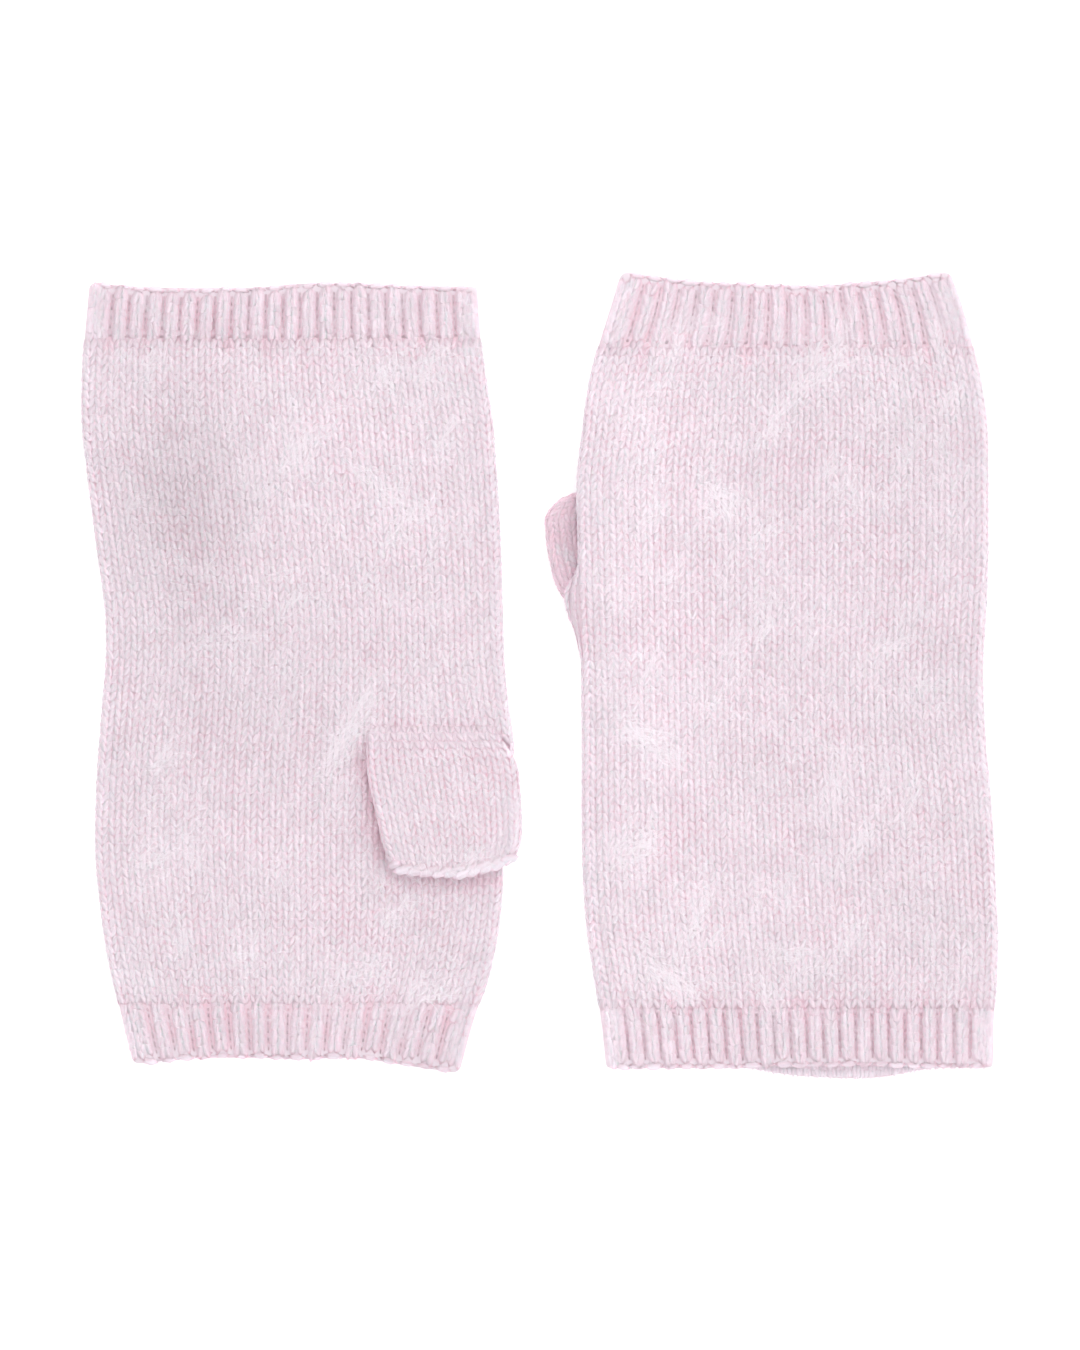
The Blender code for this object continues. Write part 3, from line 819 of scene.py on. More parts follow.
def make_band(glove, piece, hem, seam, ribs, hem_line):
    upper = turn_of_share(np.arange(ribs * COLUMNS_PER_RIB + 1) / (ribs * COLUMNS_PER_RIB))
    edge = ARC_SHARE / 2
    arc = edge * np.array([0.0, 0.25, 0.5, 0.75])
    under = spaced(0.5, 0.5 + edge / 2, 0.5 + edge, 1.0 - edge, step=UNDER_TURN_STEP)
    turns = np.concatenate([arc, upper, 0.5 - arc[:0:-1], under, 1.0 - arc[:0:-1]])
    length = abs(seam - hem)
    distances = np.concatenate([HEM_ROWS, spaced(PAST_HEM_ROWS, length - JOINT_GAP / 2, step=BAND_STEP)])
    turn, distance = np.meshgrid(turns, distances)
    crest, relief = band_relief(turn, distance, length, ribs)
    rounding = 1.0 - np.sqrt(np.clip(1.0 - (1.0 - np.clip(distance / HEM_ROUNDING, 0, 1)) ** 2, 0, 1))
    tuck = rounding * (WALL / 2 + np.clip(relief, 0, None)) * smoothstep(loop_at(turn)[2], -0.95, -0.2)
    outer = band_surface(glove, hem, seam, hem_line, turn, distance, relief - tuck)
    inner = band_surface(glove, hem, seam, hem_line, turn, distance, -WALL + rounding * WALL * 0.35)
    chart = np.stack([turn * WALES_ROUND, distance / COURSE], axis=-1)
    shaded = ground_crest(turn, RIB_VALLEY_CREST + (GROUND_CREST - RIB_VALLEY_CREST) * crest)
    shaded = EDGE_CREST + (shaded - EDGE_CREST) * smoothstep(distance, *HEM_SHADE)
    return wall_piece(f"{glove['name']}_{piece}_cloth", outer, inner, shaded, chart)


bands = {}
for glove in (LEFT, RIGHT):
    for piece, hem, seam in (
        ("wrist_rib", 0.0, glove["wrist_rib_end"]),
        ("finger_rib", glove["finger_hem"], glove["finger_rib_start"]),
    ):
        sizes = (hem, seam, glove[piece + "s"], glove[piece.replace("rib", "hem_line")])
        bands[f"{glove['name']}_{piece}"] = (make_band(glove, piece, *sizes), glove, *sizes)

# %% The thumbs' walls
THUMB_WALES_ROUND = 26
THUMB_CREST = 0.42
THUMB_LENGTH = 37.0
THUMB_TURN_STEP = 0.5 / THUMB_WALES_ROUND
THUMB_HEM_ROWS = [0.965, 0.985, 1.0]
THUMB_ROWS = np.concatenate([spaced(0.0, 0.2, step=0.02), spaced(0.24, 0.94, step=0.045), THUMB_HEM_ROWS])
THUMB_BEND = (0.15, 0.3)
THUMB_SHADE = (0.1, 0.2)


def make_thumb(glove):
    turn, share = np.meshgrid(tube_turns(THUMB_TURN_STEP, THUMB_ARC_SHARE), THUMB_ROWS)
    sine = loop_at(turn, THUMB_ARC_SHARE)[2]
    covered = covered_at(sine if glove["palm_up"] else -sine)
    rounding = smoothstep(share, THUMB_HEM_ROWS[0], 1.0)
    surface = partial(thumb_surface, glove)
    outer = surface(turn, share, -GROUND_INSET * covered - 0.5 * rounding * covered)
    inner = surface(turn, share, -THUMB_WALL + 0.4 * rounding)
    # near the slit the two layers lean on each other, so the wall follows its own outward direction
    point, _, _, out = directions(surface, turn, share, 0.0, THUMB_STEPS)
    bent = 1.0 - smoothstep(share, *THUMB_BEND)[..., None]
    inner = inner * (1.0 - bent) + (point - out * THUMB_WALL * MM) * bent
    chart = np.stack([turn * THUMB_WALES_ROUND, share * THUMB_LENGTH / COURSE], axis=-1)
    shaded = EDGE_CREST + (THUMB_CREST - EDGE_CREST) * smoothstep(share, *THUMB_SHADE)
    return wall_piece(f"{glove['name']}_thumb_cloth", outer, inner, shaded, chart)


thumbs = {glove["name"]: make_thumb(glove) for glove in (LEFT, RIGHT)}

# %% [markdown]
# ## Stitches
#
# A knit stitch shows as a V: two short legs of yarn, each slipping under the V above it. A Geometry
# Nodes tree lays one modelled leg on every guide point and turns it by the point's own directions,
# with a little unevenness from a fixed seed. The guide points come from the surface functions, so
# wales follow the outline and courses cross them, as in real knitting.

# %% A leg of yarn and a bump
STRAND_SIDES = 5
# y, half width, half height, z, in a unit cell
LEG_STATIONS = [
    (-0.5, 0, 0, -0.34), (-0.25, 0.45, 0.36, -0.02), (0.04, 0.5, 0.42, 0.05), (0.28, 0.45, 0.36, -0.01),
    (0.5, 0, 0, -0.34),
]
BUMP_STATIONS = [(-0.5, 0, 0, -0.4), (-0.2, 0.45, 0.4, 0.0), (0.2, 0.45, 0.4, 0.0), (0.5, 0, 0, -0.4)]


def join_rings(work, rings, tip):
    """Faces between rings of points, and from the last ring to a tip."""
    sides = len(rings[0])
    for ring, onward in zip(rings, rings[1:]):
        for i in range(sides):
            j = (i + 1) % sides
            work.faces.new((ring[i], ring[j], onward[j], onward[i]))
    for i in range(sides):
        work.faces.new((rings[-1][i], rings[-1][(i + 1) % sides], tip))


def strand(name, stations):
    """A small closed strand along Y through its stations."""
    work = bmesh.new()
    # Each point keeps its height in the strand as crest; the yarn colour turns a low crest into painted
    # shade.
    crest = work.verts.layers.float.new("crest")
    low = min(z - h for _, _, h, z in stations)
    high = max(z + h for _, _, h, z in stations)

    def add(x, y, z):
        vert = work.verts.new((x, y, z))
        vert[crest] = (z - low) / (high - low)
        return vert

    rings = []
    for y, half_width, half_height, z in stations[1:-1]:
        angles = np.arange(STRAND_SIDES) / STRAND_SIDES * 2 * np.pi + np.pi / 2
        rings.append([add(half_width * np.cos(a), y, z + half_height * np.sin(a)) for a in angles])
    start, end = (add(0.0, y, z) for y, _, _, z in (stations[0], stations[-1]))
    join_rings(work, rings, end)
    join_rings(work, rings[:1], start)
    mesh = finish_shape(work, bpy.data.meshes.new(name))
    mesh.shade_smooth()
    return placed(name, mesh)


LEG = strand("leg", LEG_STATIONS)
BUMP = strand("bump", BUMP_STATIONS)
print("leg", len(LEG.data.polygons), "faces, bump", len(BUMP.data.polygons), "faces")


# %% Steps that both Geometry Nodes trees share
def named(tree, name, data_type="FLOAT"):
    node = add_node(tree, "GeometryNodeInputNamedAttribute", {"Name": name}, data_type=data_type)
    return next(s for s in node.outputs if s.enabled and s.name == "Attribute")


def random_between(tree, low, high, seed, offset):
    """A random number for each element. The offset keeps each use of the seed apart."""
    values = {2: low, 3: high, 8: maths(tree, "ADD", seed, offset)}
    return add_node(tree, "FunctionNodeRandomValue", values, data_type="FLOAT").outputs[1]


def facing(tree, out, run, x, z):
    """A rotation with Z out of the cloth and Y along a direction, then turned about its own X and Z."""
    kept = {"primary_axis": "Z", "secondary_axis": "Y"}
    upright = add_node(tree, "FunctionNodeAxesToRotation", {0: out, 1: run}, **kept)
    angles = add_node(tree, "ShaderNodeCombineXYZ", {0: x, 2: z})
    spin = add_node(tree, "FunctionNodeEulerToRotation", {0: angles.outputs[0]})
    values = {0: upright.outputs[0], 1: spin.outputs[0]}
    return add_node(tree, "FunctionNodeRotateRotation", values, rotation_space="LOCAL").outputs[0]


def finish_tree(tree, given, instances, offset):
    """Gives each instance its own tone, makes them real and sets their material."""
    values = {"Geometry": instances, "Name": "tone"}
    values["Value"] = random_between(tree, -1.0, 1.0, given["Seed"], offset)
    toned = add_node(tree, "GeometryNodeStoreNamedAttribute", values, data_type="FLOAT", domain="INSTANCE")
    real = add_node(tree, "GeometryNodeRealizeInstances", {0: toned.outputs[0]})
    values = {"Geometry": real.outputs[0], "Material": given["Finish"]}
    dressed = add_node(tree, "GeometryNodeSetMaterial", values)
    add_node(tree, "NodeGroupOutput", {0: dressed.outputs[0]})
    return tree


# %% A tree that lays strands on guide points
def laying_tree():
    takes = [("Geometry", "Geometry"), ("Object", "Strand"), ("Material", "Finish")]
    takes += [("Float", name) for name in ("Turn jitter", "Size jitter", "Seed")]
    tree, given = new_tree("lay_strands", "GeometryNodeTree", takes, [("Geometry", "Geometry")])
    seed, turn_jitter, size_jitter = given["Seed"], given["Turn jitter"], given["Size jitter"]
    wobble = random_between(tree, maths(tree, "MULTIPLY", turn_jitter, -1.0), turn_jitter, seed, 1)
    lean = maths(tree, "ADD", named(tree, "lean"), wobble)
    out, run = (named(tree, name, "FLOAT_VECTOR") for name in ("out", "run"))
    less, more = (maths(tree, operation, 1.0, size_jitter) for operation in ("SUBTRACT", "ADD"))
    scale = add_node(tree, "ShaderNodeVectorMath", operation="SCALE")
    feed(tree, scale.inputs[0], named(tree, "size", "FLOAT_VECTOR"))
    feed(tree, scale.inputs["Scale"], random_between(tree, less, more, seed, 2))
    pattern = add_node(tree, "GeometryNodeObjectInfo", {"Object": given["Strand"]})
    laid = add_node(tree, "GeometryNodeInstanceOnPoints", {
        "Points": given["Geometry"], "Instance": pattern.outputs["Geometry"],
        "Rotation": facing(tree, out, run, 0.0, lean), "Scale": scale.outputs[0],
    })
    return finish_tree(tree, given, laid.outputs["Instances"], 3)


LAYING = laying_tree()
print("laying tree:", len(LAYING.nodes), "nodes")

# %% Running a tree
LEAST_HEIGHT = 0.00002


def run_tree(carrier, tree, name, **values):
    """Runs a tree on a carrier mesh and keeps the result as a plain mesh object."""
    modifier = carrier.modifiers.new("lay", "NODES")
    modifier.node_group = tree
    for item in tree.interface.items_tree:
        if item.item_type == "SOCKET" and item.in_out == "INPUT" and item.name in values:
            modifier[item.identifier] = values[item.name]
    graph = bpy.context.evaluated_depsgraph_get()
    mesh = bpy.data.meshes.new_from_object(carrier.evaluated_get(graph))
    mesh.name = name
    points = np.empty(len(mesh.vertices) * 3, np.float32)
    mesh.vertices.foreach_get("co", points)
    points[2::3] = np.maximum(points[2::3], LEAST_HEIGHT)
    mesh.vertices.foreach_set("co", points)
    bpy.data.objects.remove(carrier, do_unlink=True)
    mesh.calc_loop_triangles()
    print(name, len(mesh.loop_triangles), "triangles")
    return placed(name, mesh)


VEIL_FROM = 0.6
VEILED_SIZE = np.array([0.08, 0.0, -0.45])


# A negative paler colours the strands deeper: this is how painted shade is laid on stitches.
def lay(name, fields, strand_object, seed, turn_jitter=0.1, size_jitter=0.1, paler=0.0):
    """Lays strands for all fields. Thick nap evens them out, so they are wider and flatter there."""
    point, run, out, tilt, sizes = (np.concatenate(group) for group in zip(*fields))
    nap = nap_at(point)
    sizes = sizes * (1.0 + np.clip(nap - VEIL_FROM, 0.0, 1.0)[:, None] * VEILED_SIZE)
    mesh = bpy.data.meshes.new(name + "_guide")
    mesh.from_pydata(point.tolist(), [], [])
    paint(mesh, run=run, out=out, lean=tilt, size=sizes, nap=nap + paler, shade=shade_at(point))
    return run_tree(
        placed(name + "_guide", mesh), LAYING, name, Strand=strand_object, Finish=LEG_FINISH,
        Seed=float(seed), **{"Turn jitter": turn_jitter, "Size jitter": size_jitter},
    )


# %% Guides for one field of stitches
LEG_LEAN = 0.34
LEG_HEIGHT = -0.03
LEG_SIZE = (1.52, 3.9, 0.4)
ALONG_JITTER = 0.06


def every(turns, alongs):
    """Each turn at each distance along, as two flat lists."""
    return (grid.ravel() for grid in np.meshgrid(turns, alongs))


def sized(count, size):
    return np.tile(np.array(size) * MM, (count, 1))


def field_of_legs(
    surface, turn, along, leg, wale_turn, jitter=1.0, height=LEG_HEIGHT, lean=LEG_LEAN, towards=1.0,
    seed=3, steps=HAND_STEPS,
):
    """Both legs of every stitch whose middle is at a turn and a distance along."""
    rng = np.random.default_rng(seed)
    parts = []
    for side in (-1.0, 1.0):
        at_turn = turn + side * wale_turn * 0.25
        at_along = along + rng.normal(0.0, ALONG_JITTER, along.shape) * jitter
        point, around, run, out = directions(surface, at_turn, at_along, height, steps)
        handed = np.sign((np.cross(around, run) * out).sum(axis=-1))
        parts.append((point, run, out, -side * lean * handed * towards))
    point, run, out, tilt = (np.concatenate(group) for group in zip(*parts))
    return point, run, out, tilt, sized(len(point), leg)


# %% Painted shade on the palm beside the thumb and at the body's ends
VALLEY_FADE = 7.0
VALLEY_SINK = 0.1
VALLEY_DEEPER = 1.1
THUMB_SHADOW_DEPTH = 1.1
BESIDE_WIDTH, BENEATH_WIDTH = 3.0, 3.5


def valley_in_body(glove, turn, along):
    """How much of a rib's valley still shows in the body's first and last courses."""
    share, _, sine = loop_at(turn)
    past_wrist = 1.0 - smoothstep(along, glove["wrist_rib_end"], glove["wrist_rib_end"] + VALLEY_FADE)
    past_fingers = smoothstep(along, glove["finger_rib_start"] - VALLEY_FADE, glove["finger_rib_start"])
    wrist = (1.0 - rib_profile(share, glove["wrist_ribs"])) * past_wrist
    fingers = (1.0 - rib_profile(share, glove["finger_ribs"])) * past_fingers
    return (wrist + fingers) * facing_up(sine)


def shade_beside_thumb(glove, across, along):
    """Painted shadow of the folded thumb: the deeper colour of the palm along its inner edge and beneath
    its hem.
    """
    inner, tip = thumb_edges(glove, along)[0], thumb_tip(glove)
    beside = np.exp(-(((across - inner + 1.0) / BESIDE_WIDTH) ** 2))
    beside = beside * smoothstep(along, SLIT_FROM + 2.0, SLIT_FROM + 12.0)
    beside = beside * (1.0 - smoothstep(along, tip, tip + 5.0))
    beneath = np.exp(-(((along - tip + 1.0) / BENEATH_WIDTH) ** 2))
    return np.maximum(beside, beneath * smoothstep(across, inner - 2.0, inner + 3.0))


# %% Stockinette of the hands
COURSES_UNDER_RIB = 0.7
# how far inside the folded thumb's slit end, tip, inner edge and outer edge the hidden stitches begin
HIDDEN_INSIDE = (4.0, 3.0, 1.2, 0.8)


def hand_fields(glove):
    """The hand's stitches and how much painted shade each takes. None lie hidden under the folded thumb."""
    wales = np.arange(-1, WALES_ROUND // 2 + 1) + 0.5
    start = glove["wrist_rib_end"] - COURSES_UNDER_RIB
    end = glove["finger_rib_start"] + COURSES_UNDER_RIB
    count = round((end - start) / COURSE)
    turn, along = every(wales / WALES_ROUND, start + (np.arange(count) + 0.5) * (end - start) / count)
    deeper = 0.0 * turn
    if glove["palm_up"]:
        across = in_glove(glove, hand_surface(glove, turn, along, 0.0))[0]
        deeper = THUMB_SHADOW_DEPTH * shade_beside_thumb(glove, across, along)
        inner, outer = thumb_edges(glove, along)
        past_slit, before_tip, past_inner, before_outer = HIDDEN_INSIDE
        hidden = (along > SLIT_FROM + past_slit) & (along < thumb_tip(glove) - before_tip)
        hidden &= (across > inner + past_inner) & (across < outer - before_outer)
        turn, along, deeper = turn[~hidden], along[~hidden], deeper[~hidden]
    valley = valley_in_body(glove, turn, along)

    def surface(t, a, h):
        return hand_surface(glove, t, a, h - VALLEY_SINK * valley)

    field = field_of_legs(surface, turn, along, LEG_SIZE, 1.0 / WALES_ROUND)
    return field, np.tile(deeper + VALLEY_DEEPER * valley, 2)


stitches = {}
for number, glove in enumerate((LEFT, RIGHT)):
    field, deeper = hand_fields(glove)
    piece = lay(f"{glove['name']}_hand_stitches", [field], LEG, seed=10 + number, paler=-deeper)
    stitches[glove["name"] + "_body"] = [piece]

# %% Stockinette of the thumbs
THUMB_LEG_SIZE = (1.38, 3.7, 0.44)
THUMB_JITTER = 0.025
FIRST_THUMB_ROW, LAST_THUMB_ROW = 0.015, 0.985
THUMB_ROW = COURSE / THUMB_LENGTH * 0.93
# The tucked thumb's stitches are coloured deeper, painted shade where the hand's edge shades them.
SHADED_THUMB = 1.8
FACES_DOWN, TUCKED_DEPTH = -0.4, 7.0


def thumb_field(glove):
    """The thumb's stitches: those that face down, or lie deep under the hand, are left out."""
    wales = np.arange(THUMB_WALES_ROUND) + 0.5
    turn, share = every(wales / THUMB_WALES_ROUND, np.arange(FIRST_THUMB_ROW, LAST_THUMB_ROW, THUMB_ROW))
    surface = partial(thumb_surface, glove)
    point, _, _, out = directions(surface, turn, share, 0.0, THUMB_STEPS)
    keep = out[:, 2] > FACES_DOWN
    if not glove["palm_up"]:
        across, along = in_glove(glove, point)
        keep &= across > edge_lines(glove, along)[1] - TUCKED_DEPTH
    return field_of_legs(
        surface, turn[keep], share[keep], THUMB_LEG_SIZE, 1.0 / THUMB_WALES_ROUND, THUMB_JITTER,
        seed=5, steps=THUMB_STEPS,
    )


for number, glove in enumerate((LEFT, RIGHT)):
    paler = 0.0 if glove["palm_up"] else -SHADED_THUMB
    piece = lay(f"{glove['name']}_thumb_stitches", [thumb_field(glove)], LEG, seed=20 + number, paler=paler)
    stitches[glove["name"] + "_thumb"] = [piece]

# %% The thumb's cast-off edge
CAST_OFF_LOOPS = 10
CAST_OFF_SIZE = (2.3, 5.0, 0.9)
CAST_OFF_LEAN = 0.32
# share along the thumb of each of the two rows, and its turn
CAST_OFF_ROWS = ((0.955, 0.0), (0.985, 0.02))


def cast_off_field(glove):
    """The chain of loops that closes the thumb's last course, lying along the hem."""
    turns = (np.arange(CAST_OFF_LOOPS) + 0.5) / CAST_OFF_LOOPS * 0.5
    rng = np.random.default_rng(9)
    parts = []
    for share, shift in CAST_OFF_ROWS:
        at_share = share + rng.normal(0.0, 0.004, CAST_OFF_LOOPS)
        point, around, _, out = directions(
            partial(thumb_surface, glove), turns + shift, at_share, 0.0, THUMB_STEPS
        )
        sizes = sized(CAST_OFF_LOOPS, CAST_OFF_SIZE) * rng.uniform(0.9, 1.1, (CAST_OFF_LOOPS, 1))
        tilt = CAST_OFF_LEAN + rng.normal(0.0, 0.1, CAST_OFF_LOOPS)
        parts.append((point, around, out, tilt, sizes))
    return parts


# The cast-off loops are coloured a little deeper, painted shade that tones down their lit side.
stitches["left_thumb"].append(lay("left_thumb_cast_off", cast_off_field(LEFT), LEG, seed=25, paler=-0.4))

# %% Stitches of the ribs: knit crests, purl bumps between them, loops along the hem
RIB_STARTS = 2.3
RIB_LEAN = 0.17
RIB_JITTER = 3.0
RIB_LEG_SIZE = (1.95, 4.6, 0.26)
RIB_LEG_SPREAD = 0.285
RIB_LEG_HEIGHT, RIB_LEG_SUNK = 0.06, 0.15
STAGGER = 0.4 * COURSE
# The purl bumps are coloured deeper, painted shade down in the rib valleys.
WRIST_RIB_PALER, FINGER_RIB_PALER, PURL_PALER = 0.7, 0.2, -0.7
PURL_SIZE = (2.9, 3.7, 0.08)
PURL_HEIGHT = 0.03
# over a crest and over a valley: size, distance from the hem and height of a hem's loop
HEM_LOOP_SIZE = (2.3, 4.6, 0.5)
VALLEY_LOOP_SIZE = tuple(0.8 * side for side in HEM_LOOP_SIZE)
LOOP_PLACES, LOOP_HEIGHTS = (0.7, 0.85), (-0.12, -0.22)
PEEKING_ROWS, PEEKING_SIZE = (0.9, 2.4, 3.9), (1.3, 2.8, 1.0)


def crest_field(surface, turns, distances, length, ribs, towards, rng):
    """Wide, steep legs on each crest, every second column half a row on. They sink in at the body."""
    turn, distance = np.meshgrid(turns, distances)
    distance = distance + np.mod(np.arange(len(turns)), 2) * STAGGER
    turn, distance = turn.ravel(), distance.ravel() + rng.normal(0.0, 0.15, turn.size)
    height = RIB_LEG_HEIGHT - RIB_LEG_SUNK * smoothstep(distance, length - 1.5, length + 2.0)
    return field_of_legs(
        surface, turn, distance, RIB_LEG_SIZE, RIB_LEG_SPREAD / ribs, RIB_JITTER, height, RIB_LEAN,
        towards, seed=ribs,
    )


def band_fields(glove, hem, seam, ribs, hem_line):
    """A band's knit legs, purl bumps and hem loops."""
    length = abs(seam - hem)
    towards = np.sign(seam - hem)

    def surface(t, d, h):
        return band_surface(glove, hem, seam, hem_line, t, d, h + band_relief(t, d, length, ribs)[1])

    rng = np.random.default_rng(ribs)
    distances = np.arange(RIB_STARTS, length + 0.6 * COURSE, COURSE)
    crests = turn_of_share((np.arange(ribs) + 0.5) / ribs)
    valleys = turn_of_share(np.arange(1, ribs) / ribs)
    with_folds = np.concatenate([[ARC_SHARE / 2], crests, [0.5 - ARC_SHARE / 2]])
    knits = [crest_field(surface, with_folds, distances, length, ribs, towards, rng)]
    turn, distance = every(valleys, distances + COURSE / 2)
    inside = distance < length - 1.2
    turn, distance = turn[inside], distance[inside] + rng.normal(0.0, 0.1, inside.sum())
    point, around, _, out = directions(surface, turn, distance, PURL_HEIGHT)
    purls = (point, around, out, rng.normal(0.0, 0.2, len(point)), sized(len(point), PURL_SIZE))
    over_crest = np.repeat([True, False], [ribs, ribs - 1])
    distance = np.where(over_crest, *LOOP_PLACES) + rng.normal(0.0, 0.08, len(over_crest))
    height = np.where(over_crest, *LOOP_HEIGHTS)
    point, around, _, out = directions(surface, np.concatenate([crests, valleys]), distance, height)
    sizes = np.concatenate([sized(ribs, HEM_LOOP_SIZE), sized(ribs - 1, VALLEY_LOOP_SIZE)])
    loops = (point, around, out, rng.normal(0.0, 0.12, len(point)), sizes)
    if max(under - upper for _, upper, under in hem_line) > 1.0:
        knits.append(peeking_legs(glove, hem, seam, ribs, hem_line))
    return knits, [purls], [loops]


def peeking_legs(glove, hem, seam, ribs, hem_line):
    """Legs on the inside of the under layer, which shows where it reaches past the upper hem."""
    def surface(t, d, h):
        return band_surface(glove, hem, seam, hem_line, t, d, h - WALL)

    turns = turn_of_share((np.arange(ribs * 2) + 0.5) / (ribs * 2), upper=False)
    turn, distance = every(turns, PEEKING_ROWS)
    point, run, out, tilt, sizes = field_of_legs(
        surface, turn, distance, PEEKING_SIZE, wale_turn=0.011, jitter=0.6, height=0.1, lean=0.1, seed=77
    )
    return point, run, -out, tilt, sizes


for number, (name, (_, glove, *sizes)) in enumerate(bands.items()):
    knits, purls, loops = band_fields(glove, *sizes)
    crest_paler = WRIST_RIB_PALER if "wrist" in name else FINGER_RIB_PALER
    stitches[name] = [
        lay(name + "_knit_stitches", knits, LEG, 30 + number, paler=crest_paler),
        lay(name + "_purl_stitches", purls, BUMP, 40 + number, 0.2, 0.15, PURL_PALER),
        lay(name + "_hem_loops", loops, BUMP, 50 + number, 0.15, 0.1),
    ]

bpy.data.objects.remove(LEG)
bpy.data.objects.remove(BUMP)

# %% [markdown]
# ## The brushed fibres
#
# Brushing pulls fibres out of the yarn. They lie over the stitches in all directions, a little more
# along the wales, and stand off the silhouette as a thin halo. A Geometry Nodes tree scatters a few
# modelled fibres over the shown side, denser in some places, as the nap is on the real gloves.

# %% Fibre shapes
FIBRE_COUNT = 6
FIBRE_HALF_WIDTH = 0.062
FIBRE_FLATNESS = 0.2
FIBRE_STATIONS = 5
FIBRE_ARCH, FIBRE_RISE, FIBRE_TAPER = 0.25, 0.1, 0.5


def fibre(name, length, curl, seed):
    """A tapering, curling fibre with a flat three-sided section, closed at its root and its tip."""
    rng = np.random.default_rng(seed)
    work = bmesh.new()
    share = np.linspace(0.0, 1.0, FIBRE_STATIONS)
    x = curl * length * np.sin(share * np.pi * rng.uniform(0.8, 1.5) + rng.uniform(-0.5, 0.5))
    x, y, z = x - x[0], share * length, FIBRE_ARCH * np.sin(share * np.pi) + FIBRE_RISE * share
    rings = []
    for i in range(FIBRE_STATIONS - 1):
        half_width = FIBRE_HALF_WIDTH * (1.0 - FIBRE_TAPER * share[i])
        section = ((-half_width, 0.0), (half_width, 0.0), (0.0, half_width * FIBRE_FLATNESS))
        rings.append([work.verts.new((x[i] + across, y[i], z[i] + up)) for across, up in section])
    join_rings(work, rings, work.verts.new((x[-1], y[-1], z[-1])))
    work.faces.new(rings[0])
    mesh = finish_shape(work, bpy.data.meshes.new(name))
    mesh.transform(np.diag([MM, MM, MM, 1.0]).tolist())
    return bpy.data.objects.new(name, mesh)


fibre_shapes = bpy.data.collections.new("fibre_shapes")
for i in range(FIBRE_COUNT):
    fibre_shapes.objects.link(fibre(f"fibre_{i}", 3.0 + 0.9 * i, (-1) ** i * (0.08 + 0.025 * i), i))
print(FIBRE_COUNT, "fibre shapes")


# %% A tree that scatters fibres
STEEPEST_PITCH = 0.06
SMALLEST, LARGEST = 0.6, 1.35


def scatter_tree():
    takes = [("Geometry", "Geometry"), ("Collection", "Fibres"), ("Material", "Finish")]
    takes += [("Float", "Density"), ("Float", "Seed")]
    tree, given = new_tree("scatter_fibres", "GeometryNodeTree", takes, [("Geometry", "Geometry")])
    seed = given["Seed"]
    dots = add_node(tree, "GeometryNodeDistributePointsOnFaces", distribute_method="RANDOM")
    density = maths(tree, "MULTIPLY", given["Density"], named(tree, "nap"))
    for key, value in (("Mesh", given["Geometry"]), ("Density", density), ("Seed", seed)):
        feed(tree, dots.inputs[key], value)
    spread = named(tree, "spread")
    swing = random_between(tree, maths(tree, "MULTIPLY", spread, -1.0), spread, seed, 1)
    pitch = random_between(tree, 0.0, STEEPEST_PITCH, seed, 2)
    shapes = add_node(tree, "GeometryNodeCollectionInfo", {
        "Collection": given["Fibres"], "Separate Children": True, "Reset Children": True,
    })
    which = maths(tree, "FLOOR", random_between(tree, 0.0, FIBRE_COUNT - 0.01, seed, 4))
    size = random_between(tree, SMALLEST, LARGEST, seed, 5)
    size = maths(tree, "MULTIPLY", size, named(tree, "size"))
    flow = named(tree, "flow", "FLOAT_VECTOR")
    laid = add_node(tree, "GeometryNodeInstanceOnPoints", {
        "Points": dots.outputs["Points"], "Instance": shapes.outputs[0], "Pick Instance": True,
        "Instance Index": which, "Rotation": facing(tree, dots.outputs["Normal"], flow, pitch, swing),
        "Scale": size,
    })
    return finish_tree(tree, given, laid.outputs["Instances"], 6)


SCATTER = scatter_tree()
print("scattering tree:", len(SCATTER.nodes), "nodes")

# %% Carriers for the fibres: a plain sheet over what shows, with nap and flow painted on it
WIDEST_SPREAD, EDGE_SPREAD = 1.3, 0.35
EDGE_SIZE = 0.35
SWIRL_LEVEL, SWIRL_BY_WAVES = 0.5, 0.6
INLAND_SIZE, COMBED_LONGER = 0.7, 0.6
HAND_FOLD_REACH, THUMB_FOLD_REACH = (0.01, 0.06), (0.03, 0.16)
HEM_REACH, RIB_REACH = (0.5, 5.0), (1.0, 18.0)
FIBRE_LIFT, RIB_FIBRE_LIFT = 0.3, 0.75


